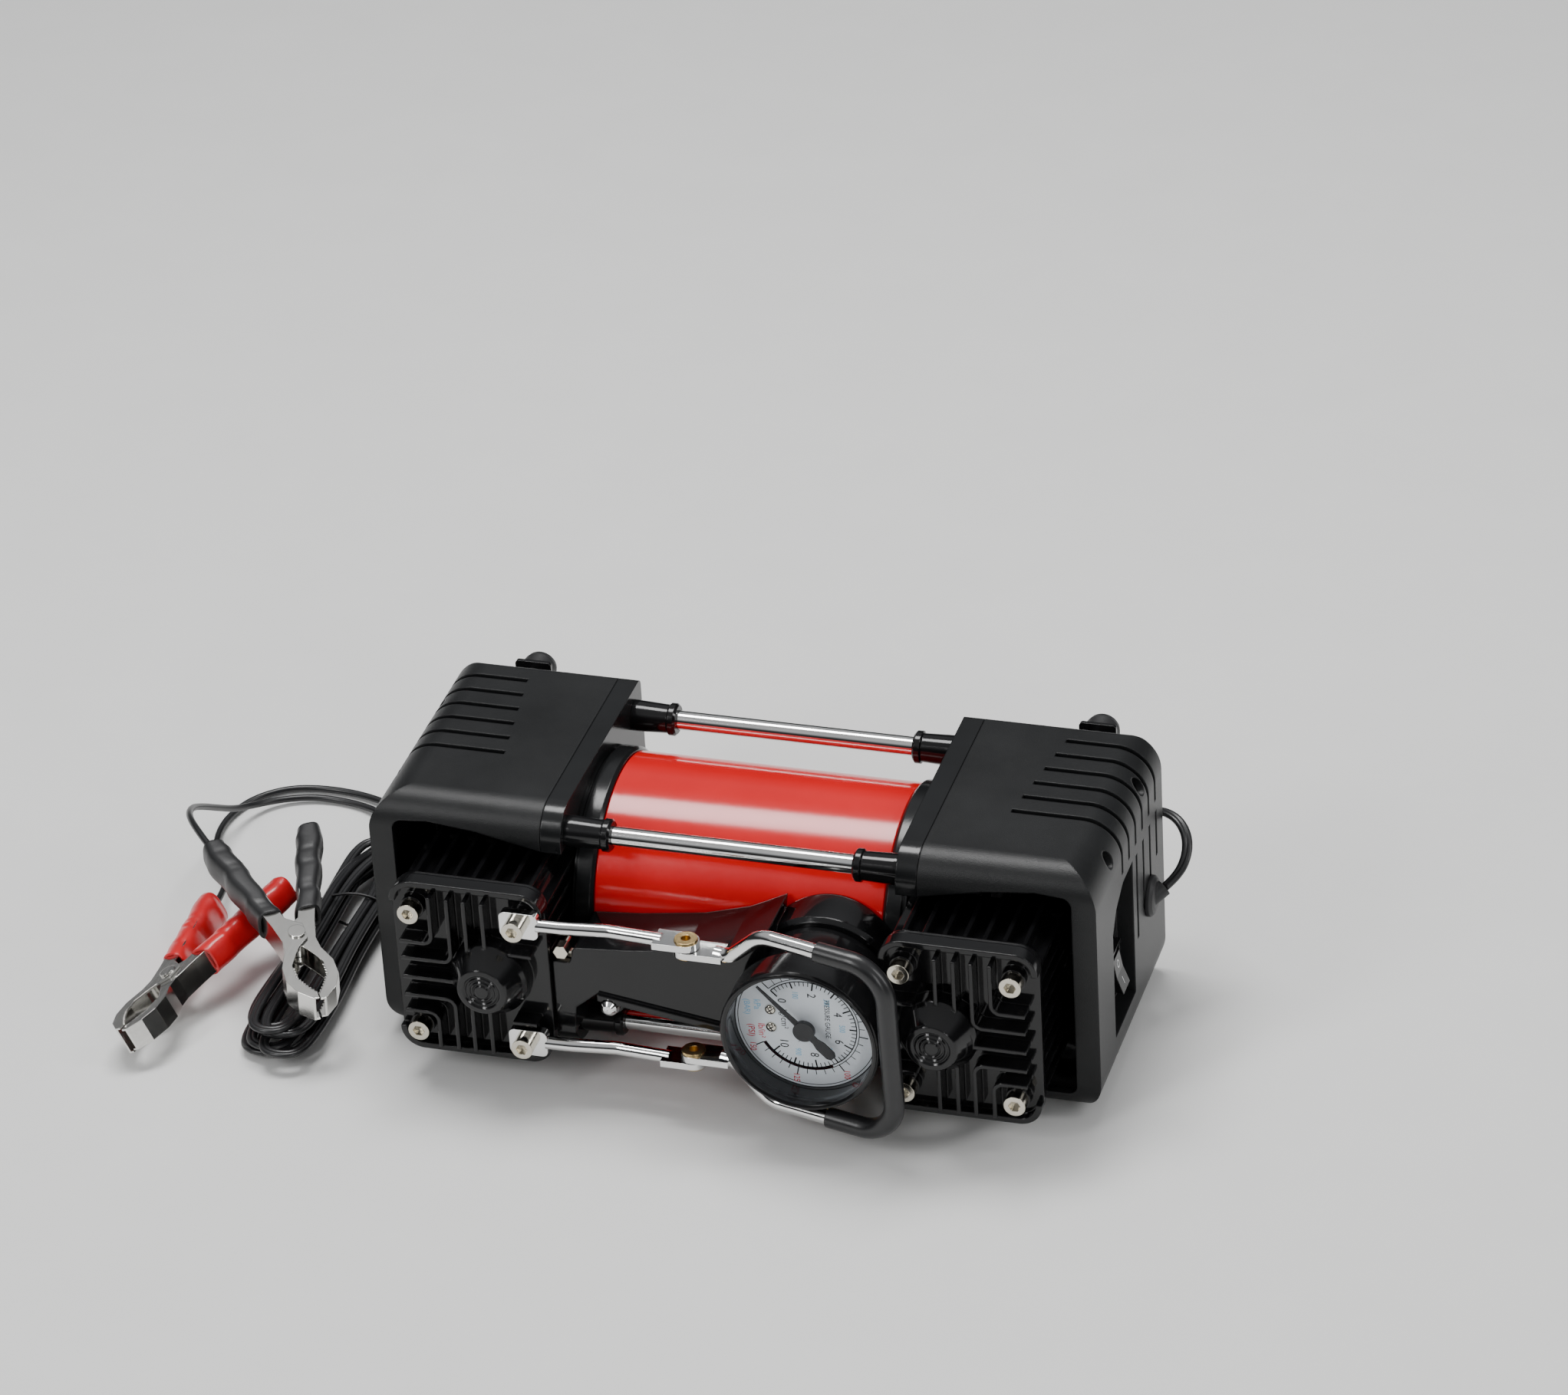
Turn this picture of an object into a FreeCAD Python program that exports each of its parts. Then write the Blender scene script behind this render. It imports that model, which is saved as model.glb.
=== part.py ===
"""Twin-cylinder air compressor with a battery lead, as an assembly of separate pieces.

The compressor lies with its cylinder heads towards -Y and its vent slots up. The motor axis runs
along X. All sizes are millimetres. Places are written from the motor axis and the middle of the
motor; the cells axis_y and axis_z carry them to the row's frame, whose origin is the middle of the
footprint on the surface that the compressor lies on.
"""
import FreeCAD, Part
import Sketcher
import math
import os
import re
import sys

Vector = FreeCAD.Vector
Rotation = FreeCAD.Rotation

DIMS = {
    # frame
    "axis_y": 13.1, "axis_z": 53.8,
    # end covers and flange plates
    "half_depth": 52.0, "half_height": 53.8, "flange_in": 66.0, "seam_x": 74.4, "end_x": 143.5,
    "front_round": 13.0, "rear_round": 3.0, "end_round": 15.0, "wall": 3.0,
    # tie rods
    "rod_place": 42.4, "rod_radius": 3.8, "socket_radius": 6.5, "socket_x": 48.0,
    # motor
    "can_radius": 45.4, "can_half": 57.5, "can_wall": 2.4, "collar_radius": 47.0,
    "armature_radius": 33.0, "shaft_radius": 5.0,
    # cylinders, from the middle of each head
    "head_x": 96.7, "head_z": -3.2, "head_half_x": 30.7, "head_half_z": 38.2, "head_round": 9.0,
    "bolt_x": 21.5, "bolt_z": 26.8, "bolt_tip": -83.8, "cap_radius": 4.2, "boss_radius": 4.75,
    "bore_radius": 18.3, "block_back": -32.0, "block_front": -69.5, "core_half": 25.0,
    "valve_front": -72.0, "head_floor": -75.0, "rim_front": -78.6, "rib_front": -82.4,
    "rib_thick": 1.5, "stroke": 20.0, "crown_offset": 8.1, "fin_pitch_x": 7.7, "fin_pitch_z": 7.1,
    "fin_thick": 1.8, "fin_half_z": 35.8,
    # gauge and pod
    "gauge_x": 38.3, "gauge_z": -5.1, "gauge_radius": 31.0, "gauge_front": -95.0,
    "dial_y": -82.6, "dial_radius": 28.2, "pod_front": -57.5,
    # manifold neck
    "neck_front": -72.4, "neck_back": -46.6,
    # carry handle
    "pivot_x": -8.4, "pivot_y": -80.0, "arm_top": 23.7, "arm_low": -30.0, "arm_radius": 2.6,
    "bow_top": 34.4, "bow_low": -40.7, "bow_x": 75.0, "bow_y": -97.6, "bow_radius": 3.0,
    "grip_radius": 4.0, "tongue": 2.7, "tongue_gap": 0.3, "arm_plate": 3.8,
    # switch and cord outlet on the right end
    "recess_front": -28.0, "recess_rear": 4.0, "recess_top": 27.0, "recess_low": -33.0,
    "recess_deep": 7.0, "switch_y": -9.0, "switch_z": -15.5,
    "relief_y": 29.0, "relief_z": -5.0,
    # feet on the rear face
    "foot_x": 115.2, "foot_z": 39.9, "foot_end": 75.6, "foot_plate": 64.6,
    # cord and battery clamps
    "cord_width": 4.2, "lead_width": 2.8, "hank_left": -195.0, "hank_right": -165.0,
    "hank_front": -92.4, "hank_rear": 70.6, "nipple_y": -52.5, "hank_low": -52.4, "hank_top": -37.8,
    "red_x": -228.1, "red_y": -60.9, "red_z": -39.4, "red_heading": 81.2, "red_pitch": -3.0, "red_roll": 26.0,
    "black_x": -179.5, "black_y": -49.4, "black_z": -20.7, "black_heading": 123.0, "black_pitch": -10.0,
    "black_roll": 0.0,
    "plate_thick": 0.8, "wide_half": 5.95, "narrow_half": 5.0, "rivet_radius": 1.9,
}

doc = FreeCAD.newDocument("Compressor")
sheet = doc.addObject("Spreadsheet::Sheet", "Dims")
for row, (alias, size) in enumerate(DIMS.items(), start=1):
    sheet.set("A%d" % row, alias)
    sheet.set("B%d" % row, str(size))
    sheet.setAlias("B%d" % row, alias)
doc.recompute()

ALIAS = re.compile(r"\b(" + "|".join(DIMS) + r")\b")
TOKEN = re.compile(r"\d+\.?\d*|\w+|[-+*/()]")
TURNS = {"x": Rotation(), "y": Rotation(Vector(0, 0, 1), 90), "z": Rotation(Vector(0, 1, 0), -90)}
PLANES = {"x": "YZ_Plane", "y": "XZ_Plane", "z": "XY_Plane"}
pieces = {}


# ---------------------------------------------------------------- small tools

def bound(text):
    """The text of a formula with each alias written as the sheet's cell."""
    return ALIAS.sub(r"Dims.\1", str(text))


def number(text):
    """The value of the same formula: terms of numbers and aliases joined by * and /."""
    tokens = TOKEN.findall(str(text))
    value = read_sum(tokens)
    if tokens:
        sys.exit("cannot read the formula " + str(text))
    return value


def read_sum(tokens):
    value = read_term(tokens)
    while tokens and tokens[0] in "+-":
        sign = tokens.pop(0)
        term = read_term(tokens)
        value = value + term if sign == "+" else value - term
    return value


def read_term(tokens):
    value = read_factor(tokens)
    while tokens and tokens[0] in "*/":
        sign = tokens.pop(0)
        factor = read_factor(tokens)
        value = value * factor if sign == "*" else value / factor
    return value


def read_factor(tokens):
    token = tokens.pop(0)
    if token == "-":
        return -read_factor(tokens)
    if token == "(":
        value = read_sum(tokens)
        tokens.pop(0)
        return value
    if token in DIMS:
        return float(DIMS[token])
    return float(token)


def place(obj, x, y, z, turn=None):
    """Put an object's own origin at a place given from the motor axis."""
    obj.Placement = FreeCAD.Placement(Vector(), turn or Rotation())
    obj.setExpression("Placement.Base.x", bound(x))
    obj.setExpression("Placement.Base.y", "Dims.axis_y + (%s)" % bound(y))
    obj.setExpression("Placement.Base.z", "Dims.axis_z + (%s)" % bound(z))
    return obj


def box(low, high, label="block"):
    solid = doc.addObject("Part::Box", label)
    for side, start, end in zip(("Length", "Width", "Height"), low, high):
        solid.setExpression(side, "(%s) - (%s)" % (bound(end), bound(start)))
    return place(solid, *low)


def round_bar(axis, centre, radius, start, end, label="bar"):
    """A cylinder along one axis; centre holds its two other coordinates, in X, Y, Z order."""
    solid = doc.addObject("Part::Cylinder", label)
    solid.setExpression("Radius", bound(radius))
    solid.setExpression("Height", "(%s) - (%s)" % (bound(end), bound(start)))
    turn = {"x": Rotation(Vector(0, 1, 0), 90), "y": Rotation(Vector(1, 0, 0), -90), "z": Rotation()}[axis]
    spot = {"x": (start, centre[0], centre[1]), "y": (centre[0], start, centre[1]),
            "z": (centre[0], centre[1], start)}[axis]
    return place(solid, *spot, turn=turn)


def cut(base, *tools):
    tool = tools[0] if len(tools) == 1 else fuse(*tools)
    result = doc.addObject("Part::Cut", "cut")
    result.Base, result.Tool = base, tool
    return result


def fuse(*parts):
    result = doc.addObject("Part::MultiFuse", "joined")
    result.Shapes = list(parts)
    return result


def common(one, other):
    result = doc.addObject("Part::Common", "common")
    result.Base, result.Tool = one, other
    return result


def mirrored(source):
    """The same piece on the other side of the motor's middle plane."""
    result = doc.addObject("Part::Mirroring", "mirrored")
    result.Source = source
    result.Base, result.Normal = Vector(0, 0, 0), Vector(1, 0, 0)
    return result


def group(*parts):
    """Separate solids that share one node."""
    result = doc.addObject("Part::Compound", "group")
    result.Links = list(parts)
    return result


def outline(sketch, points):
    """A closed polygon whose corners are bound to the sheet."""
    count = len(points)
    spots = [Vector(number(u), number(v), 0) for u, v in points]
    for index in range(count):
        sketch.addGeometry(Part.LineSegment(spots[index], spots[(index + 1) % count]), False)
    for index in range(count):
        sketch.addConstraint(Sketcher.Constraint("Coincident", index, 2, (index + 1) % count, 1))
    for index, corner in enumerate(points):
        for kind, text in zip(("DistanceX", "DistanceY"), corner):
            rule = Sketcher.Constraint(kind, -1, 1, index, 1, number(text))
            line = sketch.addConstraint(rule)
            sketch.setExpression("Constraints[%d]" % line, bound(text))


def sketch_in(body, plane):
    sketch = body.newObject("Sketcher::SketchObject", "sketch")
    origin = [item for item in body.Origin.OriginFeatures if item.Role == plane][0]
    sketch.AttachmentSupport = [(origin, "")]
    sketch.MapMode = "FlatFace"
    return sketch


def prism(axis, points, start, end, rounds=()):
    """A pad of an outline along one axis. rounds holds (radius, [corner numbers]) pairs."""
    body = doc.addObject("PartDesign::Body", "body")
    sketch = sketch_in(body, PLANES[axis])
    outline(sketch, points)
    pad = body.newObject("PartDesign::Pad", "pad")
    pad.Profile = sketch
    pad.setExpression("Length", "(%s) - (%s)" % (bound(end), bound(start)))
    base = {"x": (start, "0", "0"), "y": ("0", end, "0"), "z": ("0", "0", start)}[axis]
    tip = pad
    for radius, corners in rounds:
        doc.recompute()
        spots = [(number(points[index][0]), number(points[index][1])) for index in corners]
        fillet = body.newObject("PartDesign::Fillet", "fillet")
        fillet.Base = (tip, long_edges(tip.Shape, axis, spots))
        fillet.setExpression("Radius", bound(radius))
        tip = fillet
    body.Tip = tip
    return place(body, *base)


def long_edges(shape, axis, spots):
    """The names of the edges that run along an axis through the given corners."""
    keep = {"x": (1, 2), "y": (0, 2), "z": (0, 1)}[axis]
    names = []
    for index, edge in enumerate(shape.Edges, start=1):
        ends = [tuple(vertex.Point) for vertex in edge.Vertexes]
        if len(ends) != 2:
            continue
        flat = [(end[keep[0]], end[keep[1]]) for end in ends]
        for spot in spots:
            if all(abs(one[0] - spot[0]) + abs(one[1] - spot[1]) < 0.01 for one in flat):
                names.append("Edge%d" % index)
    return names


def rectangle(low, high):
    return [(low[0], low[1]), (high[0], low[1]), (high[0], high[1]), (low[0], high[1])]


def turned(axis, centre, points):
    """A revolved piece: points are (place along the axis, radius), centre is as in round_bar."""
    body = doc.addObject("PartDesign::Body", "turned")
    sketch = sketch_in(body, "XY_Plane")
    outline(sketch, points)
    spin = body.newObject("PartDesign::Revolution", "spin")
    spin.Profile = sketch
    spin.ReferenceAxis = (sketch, ["H_Axis"])
    spin.Angle = 360.0
    body.Tip = spin
    spot = {"x": ("0", centre[0], centre[1]), "y": (centre[0], "0", centre[1]),
            "z": (centre[0], centre[1], "0")}[axis]
    return place(body, *spot, turn=TURNS[axis])


def keep(name, obj):
    obj.Label = name
    pieces[name] = obj
    return obj


def both_sides(name, obj):
    """Keep the right piece and its mirror image on the left."""
    keep("right_" + name, obj)
    keep("left_" + name, mirrored(obj))


def world(x, y, z):
    """A point given from the motor axis, in the row's frame."""
    return Vector(number(x), number("axis_y") + number(y), number("axis_z") + number(z))


# ---------------------------------------------------------------- housing

SIDE = rectangle(("-half_depth", "-half_height"), ("half_depth", "half_height"))
SIDE_ROUNDS = [("front_round", [0, 3]), ("rear_round", [1, 2])]
INNER_SIDE = rectangle(("-half_depth + wall", "-half_height + wall"),
                       ("half_depth - wall", "half_height - wall"))
INNER_ROUNDS = [("front_round - wall", [0, 3]), ("rear_round - 1", [1, 2])]
SCREW_SPOTS = [("25.6", "46.5"), ("-24.8", "45.5"), ("25.6", "-46.5"), ("-24.8", "-45.5")]


def end_profile(inset):
    """The cover seen from the front: its outer top and bottom edges are well rounded."""
    low = ("seam_x - 20", "-half_height + %s" % inset)
    return prism("y", rectangle(low, ("end_x - %s" % inset, "half_height - %s" % inset)),
                 "-half_depth - 1", "half_depth + 1", [("end_round - %s" % inset, [1, 2])])


def cover_outside():
    return common(prism("x", SIDE, "seam_x", "end_x + 1", SIDE_ROUNDS), end_profile("0"))


def vent_slots():
    """Six slots along X over the top that bend down the outer side, and four short ones below."""
    tools = []
    for index in range(6):
        middle = "%g" % (40.8 - 10.4 * index)
        inner = "%g" % (109.0 - 1.6 * index)
        tools.append(box((inner, "%s - 1.2" % middle, "31"), ("end_x + 2", "%s + 1.2" % middle, "60")))
    for index in range(4):
        middle = "%g" % (41.4 - 10.4 * index)
        low = "%g" % (6.0 - 6.0 * index)
        tools.append(box(("end_x - 6", "%s - 1.2" % middle, low), ("end_x + 2", "%s + 1.2" % middle, "26")))
    return tools


def cover_mouth():
    """The opening in the front face that the cylinder comes out of."""
    return prism("y", [("seam_x - 1", "-44"), ("seam_x - 1", "37.5"), ("100", "43"), ("120", "45"),
                       ("134", "44"), ("134", "-44.5"), ("100", "-44.5")],
                 "-half_depth - 2", "-half_depth + 14", [("4", [4, 5])])


def cover_shell():
    """The plain shell with its screw posts, before the slots are cut."""
    hollow = common(prism("x", INNER_SIDE, "seam_x - 1", "end_x", INNER_ROUNDS), end_profile("wall"))
    posts = [round_bar("x", spot, "5.4", "seam_x + 0.05", "end_x - 12") for spot in SCREW_SPOTS]
    return common(fuse(cut(cover_outside(), hollow), *posts), cover_outside())


def end_covers():
    tools = [cover_mouth()] + vent_slots()
    tools += [round_bar("x", spot, "3.4", "end_x - 12", "end_x + 2") for spot in SCREW_SPOTS]
    tools += [round_bar("x", spot, "2.2", "seam_x - 1", "end_x") for spot in SCREW_SPOTS]
    keep("left_end_cover", mirrored(cut(cover_shell(), *tools)))
    well = box(("end_x - recess_deep - 2.5", "recess_front - 2.5", "recess_low - 2.5"),
               ("end_x - 2", "recess_rear + 2.5", "recess_top + 2.5"))
    pocket = prism("x", [("recess_front", "recess_low"), ("recess_front", "recess_top - 13"),
                         ("recess_front + 6", "recess_top - 5"), ("recess_front + 17", "recess_top"),
                         ("recess_rear", "recess_top"), ("recess_rear", "recess_low")],
                   "end_x - recess_deep", "end_x + 1")
    switch_way = box(("end_x - recess_deep - 4", "switch_y - 6.2", "switch_z - 10.05"),
                     ("end_x", "switch_y + 6.2", "switch_z + 10.05"))
    cord_way = round_bar("x", ("relief_y", "relief_z"), "5.2", "end_x - 8", "end_x + 1")
    shell = cut(cover_shell(), *tools)
    keep("right_end_cover", cut(fuse(shell, well), pocket, switch_way, cord_way, *vent_slots()))


def cover_screws():
    screws = []
    for y, z in SCREW_SPOTS:
        head = round_bar("x", (y, z), "3.2", "end_x - 12", "end_x - 9.4")
        shank = round_bar("x", (y, z), "2.0", "seam_x + 1", "end_x - 12")
        level = box(("end_x - 10.4", "%s - 2.2" % y, "%s - 0.5" % z),
                    ("end_x - 9", "%s + 2.2" % y, "%s + 0.5" % z))
        upright = box(("end_x - 10.4", "%s - 0.5" % y, "%s - 2.2" % z),
                      ("end_x - 9", "%s + 0.5" % y, "%s + 2.2" % z))
        screws.append(cut(fuse(head, shank), level, upright))
    keep("cover_screws", group(*(screws + [mirrored(screw) for screw in screws])))


def flange_plate():
    """A thick plate at the seam, with a box behind it that carries the cylinder's foot."""
    plate = prism("x", SIDE, "flange_in", "seam_x - 0.2", SIDE_ROUNDS)
    mouth = prism("y", rectangle(("flange_in - 1", "-44"), ("seam_x + 1", "37.5")),
                  "-half_depth - 2", "block_back")
    web = box(("seam_x - 1", "block_back + 0.2", "-36"), ("seam_x + 14", "30", "36"))
    hollow = box(("seam_x + 3.5", "block_back - 1", "-30"), ("seam_x + 15", "26", "30"))
    shaft_way = round_bar("x", ("0", "0"), "8.05", "flange_in - 1", "seam_x + 5")
    both_sides("flange_plate", cut(fuse(cut(plate, mouth), cut(web, hollow)), shaft_way))


def tie_rods():
    rods, sockets = [], []
    profile = [("socket_x", "rod_radius + 0.05"), ("socket_x", "socket_radius - 0.9"),
               ("socket_x + 0.9", "socket_radius"), ("socket_x + 3", "socket_radius"),
               ("socket_x + 3.6", "socket_radius - 0.8"), ("flange_in - 2", "socket_radius - 0.3"),
               ("flange_in", "socket_radius - 0.3"), ("flange_in", "rod_radius + 0.05")]
    for y in ("-rod_place", "rod_place"):
        for z in ("rod_place", "-rod_place"):
            rods.append(round_bar("x", (y, z), "rod_radius", "-flange_in + 0.3", "flange_in - 0.3"))
            sockets.append(turned("x", (y, z), profile))
    keep("tie_rods", group(*rods))
    keep("rod_sockets", group(*(sockets + [mirrored(socket) for socket in sockets])))


# ---------------------------------------------------------------- motor

def motor():
    can = [("-can_half", "can_radius - can_wall"), ("-can_half", "can_radius - 0.6"),
           ("-can_half + 0.6", "can_radius"), ("can_half - 0.6", "can_radius"),
           ("can_half", "can_radius - 0.6"), ("can_half", "can_radius - can_wall")]
    keep("motor_can", turned("x", ("0", "0"), can))
    collar = turned("x", ("0", "0"), [("can_half", "8.05"), ("can_half", "collar_radius - 1.2"),
                                      ("can_half + 1.2", "collar_radius"),
                                      ("flange_in - 1.6", "collar_radius"),
                                      ("flange_in - 1.6", "collar_radius - 1.5"),
                                      ("flange_in", "collar_radius - 1.5"), ("flange_in", "8.05")])
    keep("motor_collars", group(collar, mirrored(collar)))
    ring = cut(round_bar("x", ("0", "0"), "can_radius - can_wall", "-38", "38"),
               round_bar("x", ("0", "0"), "armature_radius + 1.5", "-39", "39"))
    keep("motor_magnets", cut(ring, box(("-40", "-9", "20"), ("40", "9", "60")),
                              box(("-40", "-9", "-60"), ("40", "9", "-20"))))
    keep("motor_shaft", turned("x", ("0", "0"), [("-92", "0"), ("-92", "shaft_radius - 0.5"),
                                                 ("-91.5", "shaft_radius"), ("91.5", "shaft_radius"),
                                                 ("92", "shaft_radius - 0.5"), ("92", "0")]))
    bush = turned("x", ("0", "0"), [("can_half + 1", "shaft_radius + 0.06"), ("can_half + 1", "8"),
                                    ("seam_x - 0.2", "8"), ("seam_x - 0.2", "shaft_radius + 0.06")])
    keep("shaft_bushes", group(bush, mirrored(bush)))
    keep("motor_brushes", group(box(("36", "-4", "17.2"), ("44", "4", "31")),
                                box(("36", "-4", "-31"), ("44", "4", "-17.2"))))


def armature():
    """A slotted stack, its end windings and the commutator, as one moulded piece."""
    slots = []
    for index in range(12):
        tool = doc.addObject("Part::Box", "slot")
        tool.Length, tool.Width, tool.Height = 60, 3.2, 9
        turn = Rotation(Vector(1, 0, 0), 30.0 * index)
        spot = turn.multVec(Vector(-30, -1.6, number("armature_radius - 7")))
        tool.Placement = FreeCAD.Placement(world("0", "0", "0") + spot, turn)
        slots.append(tool)
    stack = cut(round_bar("x", ("0", "0"), "armature_radius", "-27", "25"), *slots)
    rear = turned("x", ("0", "0"), [("-36", "9"), ("-36", "20"), ("-33", "25"), ("-27", "25"), ("-27", "9")])
    front = turned("x", ("0", "0"), [("25", "9"), ("25", "25"), ("29", "25"), ("31", "20"), ("31", "9")])
    commutator = round_bar("x", ("0", "0"), "16.5", "31", "46")
    bore = round_bar("x", ("0", "0"), "shaft_radius", "-40", "50")
    keep("motor_armature", cut(fuse(stack, rear, front, commutator), bore))


def cranks():
    """A disc with a counterweight and a short pin on each end of the shaft."""
    disc = round_bar("x", ("0", "0"), "13", "81", "90")
    weight = common(round_bar("x", ("0", "0"), "23", "81", "90"), box(("80", "3", "-19"), ("91", "24", "19")))
    pin = round_bar("x", ("-stroke / 2", "0"), "4", "90", "92")
    both_sides("crank", cut(fuse(disc, weight, pin), round_bar("x", ("0", "0"), "shaft_radius", "80", "92.5")))


# ---------------------------------------------------------------- cylinders

def bolt_spots():
    """The four bolts of the right head: outer top, outer bottom, inner top, inner bottom."""
    return [("head_x + %s * bolt_x" % across, "head_z + %s * bolt_z" % up)
            for across in ("1", "(-1)") for up in ("1", "(-1)")]


def head_plate(start, end, inset="0"):
    """A rounded plate as large as the head, less an inset all round."""
    low = ("head_x - head_half_x + %s" % inset, "head_z - head_half_z + %s" % inset)
    high = ("head_x + head_half_x - %s" % inset, "head_z + head_half_z - %s" % inset)
    return prism("y", rectangle(low, high), start, end, [("head_round - %s" % inset, [0, 1, 2, 3])])


def cylinder_block():
    """A square cast block with fins that run back along the cylinder."""
    low = ("head_x - core_half", "head_z - core_half - 6")
    high = ("head_x + core_half", "head_z + core_half + 6")
    parts = [prism("y", rectangle(low, high), "block_front", "block_back", [("4", [0, 1, 2, 3])])]
    for index in range(-3, 4):
        middle = "head_x + %g * fin_pitch_x" % index
        parts.append(box(("%s - fin_thick / 2" % middle, "block_front", "head_z - fin_half_z"),
                         ("%s + fin_thick / 2" % middle, "block_back", "head_z + fin_half_z")))
    for index in range(-4, 5):
        middle = "head_z + %g * fin_pitch_z" % index
        parts.append(box(("head_x - head_half_x + 0.9", "block_front", "%s - fin_thick / 2" % middle),
                         ("head_x + head_half_x - 0.9", "block_back", "%s + fin_thick / 2" % middle)))
    parts += [round_bar("y", spot, "5.2", "block_front", "block_front + 20") for spot in bolt_spots()]
    bore = round_bar("y", ("head_x", "head_z"), "bore_radius", "block_front - 1", "block_back + 1")
    threads = [round_bar("y", spot, "2.3", "block_front - 1", "block_front + 16") for spot in bolt_spots()]
    both_sides("cylinder_block", cut(fuse(*parts), bore, *threads))


def valve_plate():
    holes = [round_bar("y", spot, "2.3", "valve_front - 1", "block_front + 1") for spot in bolt_spots()]
    ports = [round_bar("y", ("head_x + %s" % across, "head_z"), "2.5", "valve_front - 1", "block_front + 1")
             for across in ("6", "(-7)")]
    both_sides("valve_plate", cut(head_plate("valve_front", "block_front", "0.6"), *(holes + ports)))


def head_cover():
    """A ribbed plate with a lip along its top and bottom, four bolt posts and a stepped crown."""
    lip = cut(head_plate("rim_front", "head_floor"), head_plate("rim_front - 1", "head_floor + 1", "2.4"),
              box(("head_x - 60", "rim_front - 1", "head_z - 29"), ("head_x + 60", "head_floor", "head_z + 29")))
    parts = [head_plate("head_floor", "valve_front"), lip]
    parts += [round_bar("y", spot, "boss_radius", "bolt_tip + 5", "head_floor") for spot in bolt_spots()]
    parts += head_ribs()
    crown = [("bolt_tip - 6.5", "0"), ("bolt_tip - 6.5", "2.6"), ("bolt_tip - 5.7", "3.2"),
             ("bolt_tip - 6.5", "3.9"), ("bolt_tip - 5.7", "4.9"), ("bolt_tip - 6.5", "5.8"),
             ("bolt_tip - 5.7", "6.7"), ("bolt_tip - 6.5", "7.6"), ("bolt_tip - 6.3", "9.6"),
             ("bolt_tip - 5.6", "10.2"), ("bolt_tip + 1", "14.2"), ("bolt_tip + 2.6", "15.5"),
             ("head_floor", "15.9"), ("head_floor", "0")]
    parts.append(turned("y", ("head_x - crown_offset", "head_z - 0.5"), crown))
    holes = [round_bar("y", spot, "2.3", "bolt_tip - 1", "valve_front + 1") for spot in bolt_spots()]
    both_sides("head_cover", cut(fuse(*parts), *holes))


def rib(across, up, low_x="", high_x="", low_z="", high_z=""):
    """A straight cooling rib, upright at `across` or level at `up`, from the floor to its crest."""
    half = "rib_thick / 2"
    if across:
        low = ("head_x + %s - %s" % (across, half), "rib_front", "head_z + %s" % low_z)
        high = ("head_x + %s + %s" % (across, half), "head_floor", "head_z + %s" % high_z)
    else:
        low = ("head_x + %s" % low_x, "rib_front", "head_z + %s - %s" % (up, half))
        high = ("head_x + %s" % high_x, "head_floor", "head_z + %s + %s" % (up, half))
    return box(low, high)


def bent_rib(across, up, far_x, far_z):
    """An upright rib that turns through a round corner and runs level to the outer side."""
    side = 1 if number(far_z) > number(up) else -1
    near, beyond = ("rib_thick / 2", "(-rib_thick / 2)")
    if side < 0:
        near, beyond = beyond, near
    x0, x1 = "head_x + %s - rib_thick / 2" % across, "head_x + %s + rib_thick / 2" % across
    z_in, z_out = "head_z + %s + %s" % (up, near), "head_z + %s + %s" % (up, beyond)
    end_x, end_z = "head_x + %s" % far_x, "head_z + %s" % far_z
    corners = [(x0, end_z), (x0, z_out), (end_x, z_out), (end_x, z_in), (x1, z_in), (x1, end_z)]
    return prism("y", corners, "rib_front", "head_floor", [("4.5", [1]), ("3", [4])])


def head_ribs():
    """Upright ribs above and below the crown; the two outer ones on each side bend outwards."""
    ribs = [rib("(-7.9)", "", low_z="12", high_z="34.2"), rib("(-0.7)", "", low_z="12", high_z="34.2"),
            rib("(-7.9)", "", low_z="(-34.2)", high_z="(-13)"),
            rib("(-0.7)", "", low_z="(-34.2)", high_z="(-13)"),
            rib("", "(-3)", low_x="6", high_x="26.4")]
    ribs += [bent_rib("6.1", "5.7", "26.4", "34.2"), bent_rib("13.4", "13.3", "26.4", "34.2"),
             bent_rib("6.1", "(-11.4)", "26.4", "(-34.2)"), bent_rib("13.4", "(-18.6)", "26.4", "(-34.2)")]
    ribs += [rib("", "12.6", low_x="(-26.4)", high_x="(-17)"), rib("", "(-18.6)", low_x="(-26.4)", high_x="(-17)")]
    return ribs


def head_bolts():
    """Eight socket-head bolts; the left head's inner pair also holds the carry handle's arms."""
    bolts = []
    for index, spot in enumerate(bolt_spots()):
        plain = bolt(spot, "bolt_tip")
        raised = bolt(spot, "bolt_tip - arm_plate")
        bolts += [plain, mirrored(plain if index < 2 else raised)]
    keep("head_bolts", group(*bolts))


def bolt(spot, tip):
    head = round_bar("y", spot, "cap_radius", tip, "%s + 5" % tip)
    shank = round_bar("y", spot, "2.15", "%s + 5" % tip, "block_front + 14")
    return cut(fuse(head, shank), hexagon(spot, "2.1", "%s - 1" % tip, "%s + 2.8" % tip))


def hexagon(spot, flat, start, end):
    """A six-sided bar along Y; flat is half its width across flats."""
    bar = doc.addObject("Part::Prism", "hexagon")
    bar.Polygon = 6
    bar.setExpression("Circumradius", "(%s) / 0.8660254" % bound(flat))
    bar.setExpression("Height", "(%s) - (%s)" % (bound(end), bound(start)))
    return place(bar, spot[0], start, spot[1], turn=Rotation(Vector(1, 0, 0), -90))


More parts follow.
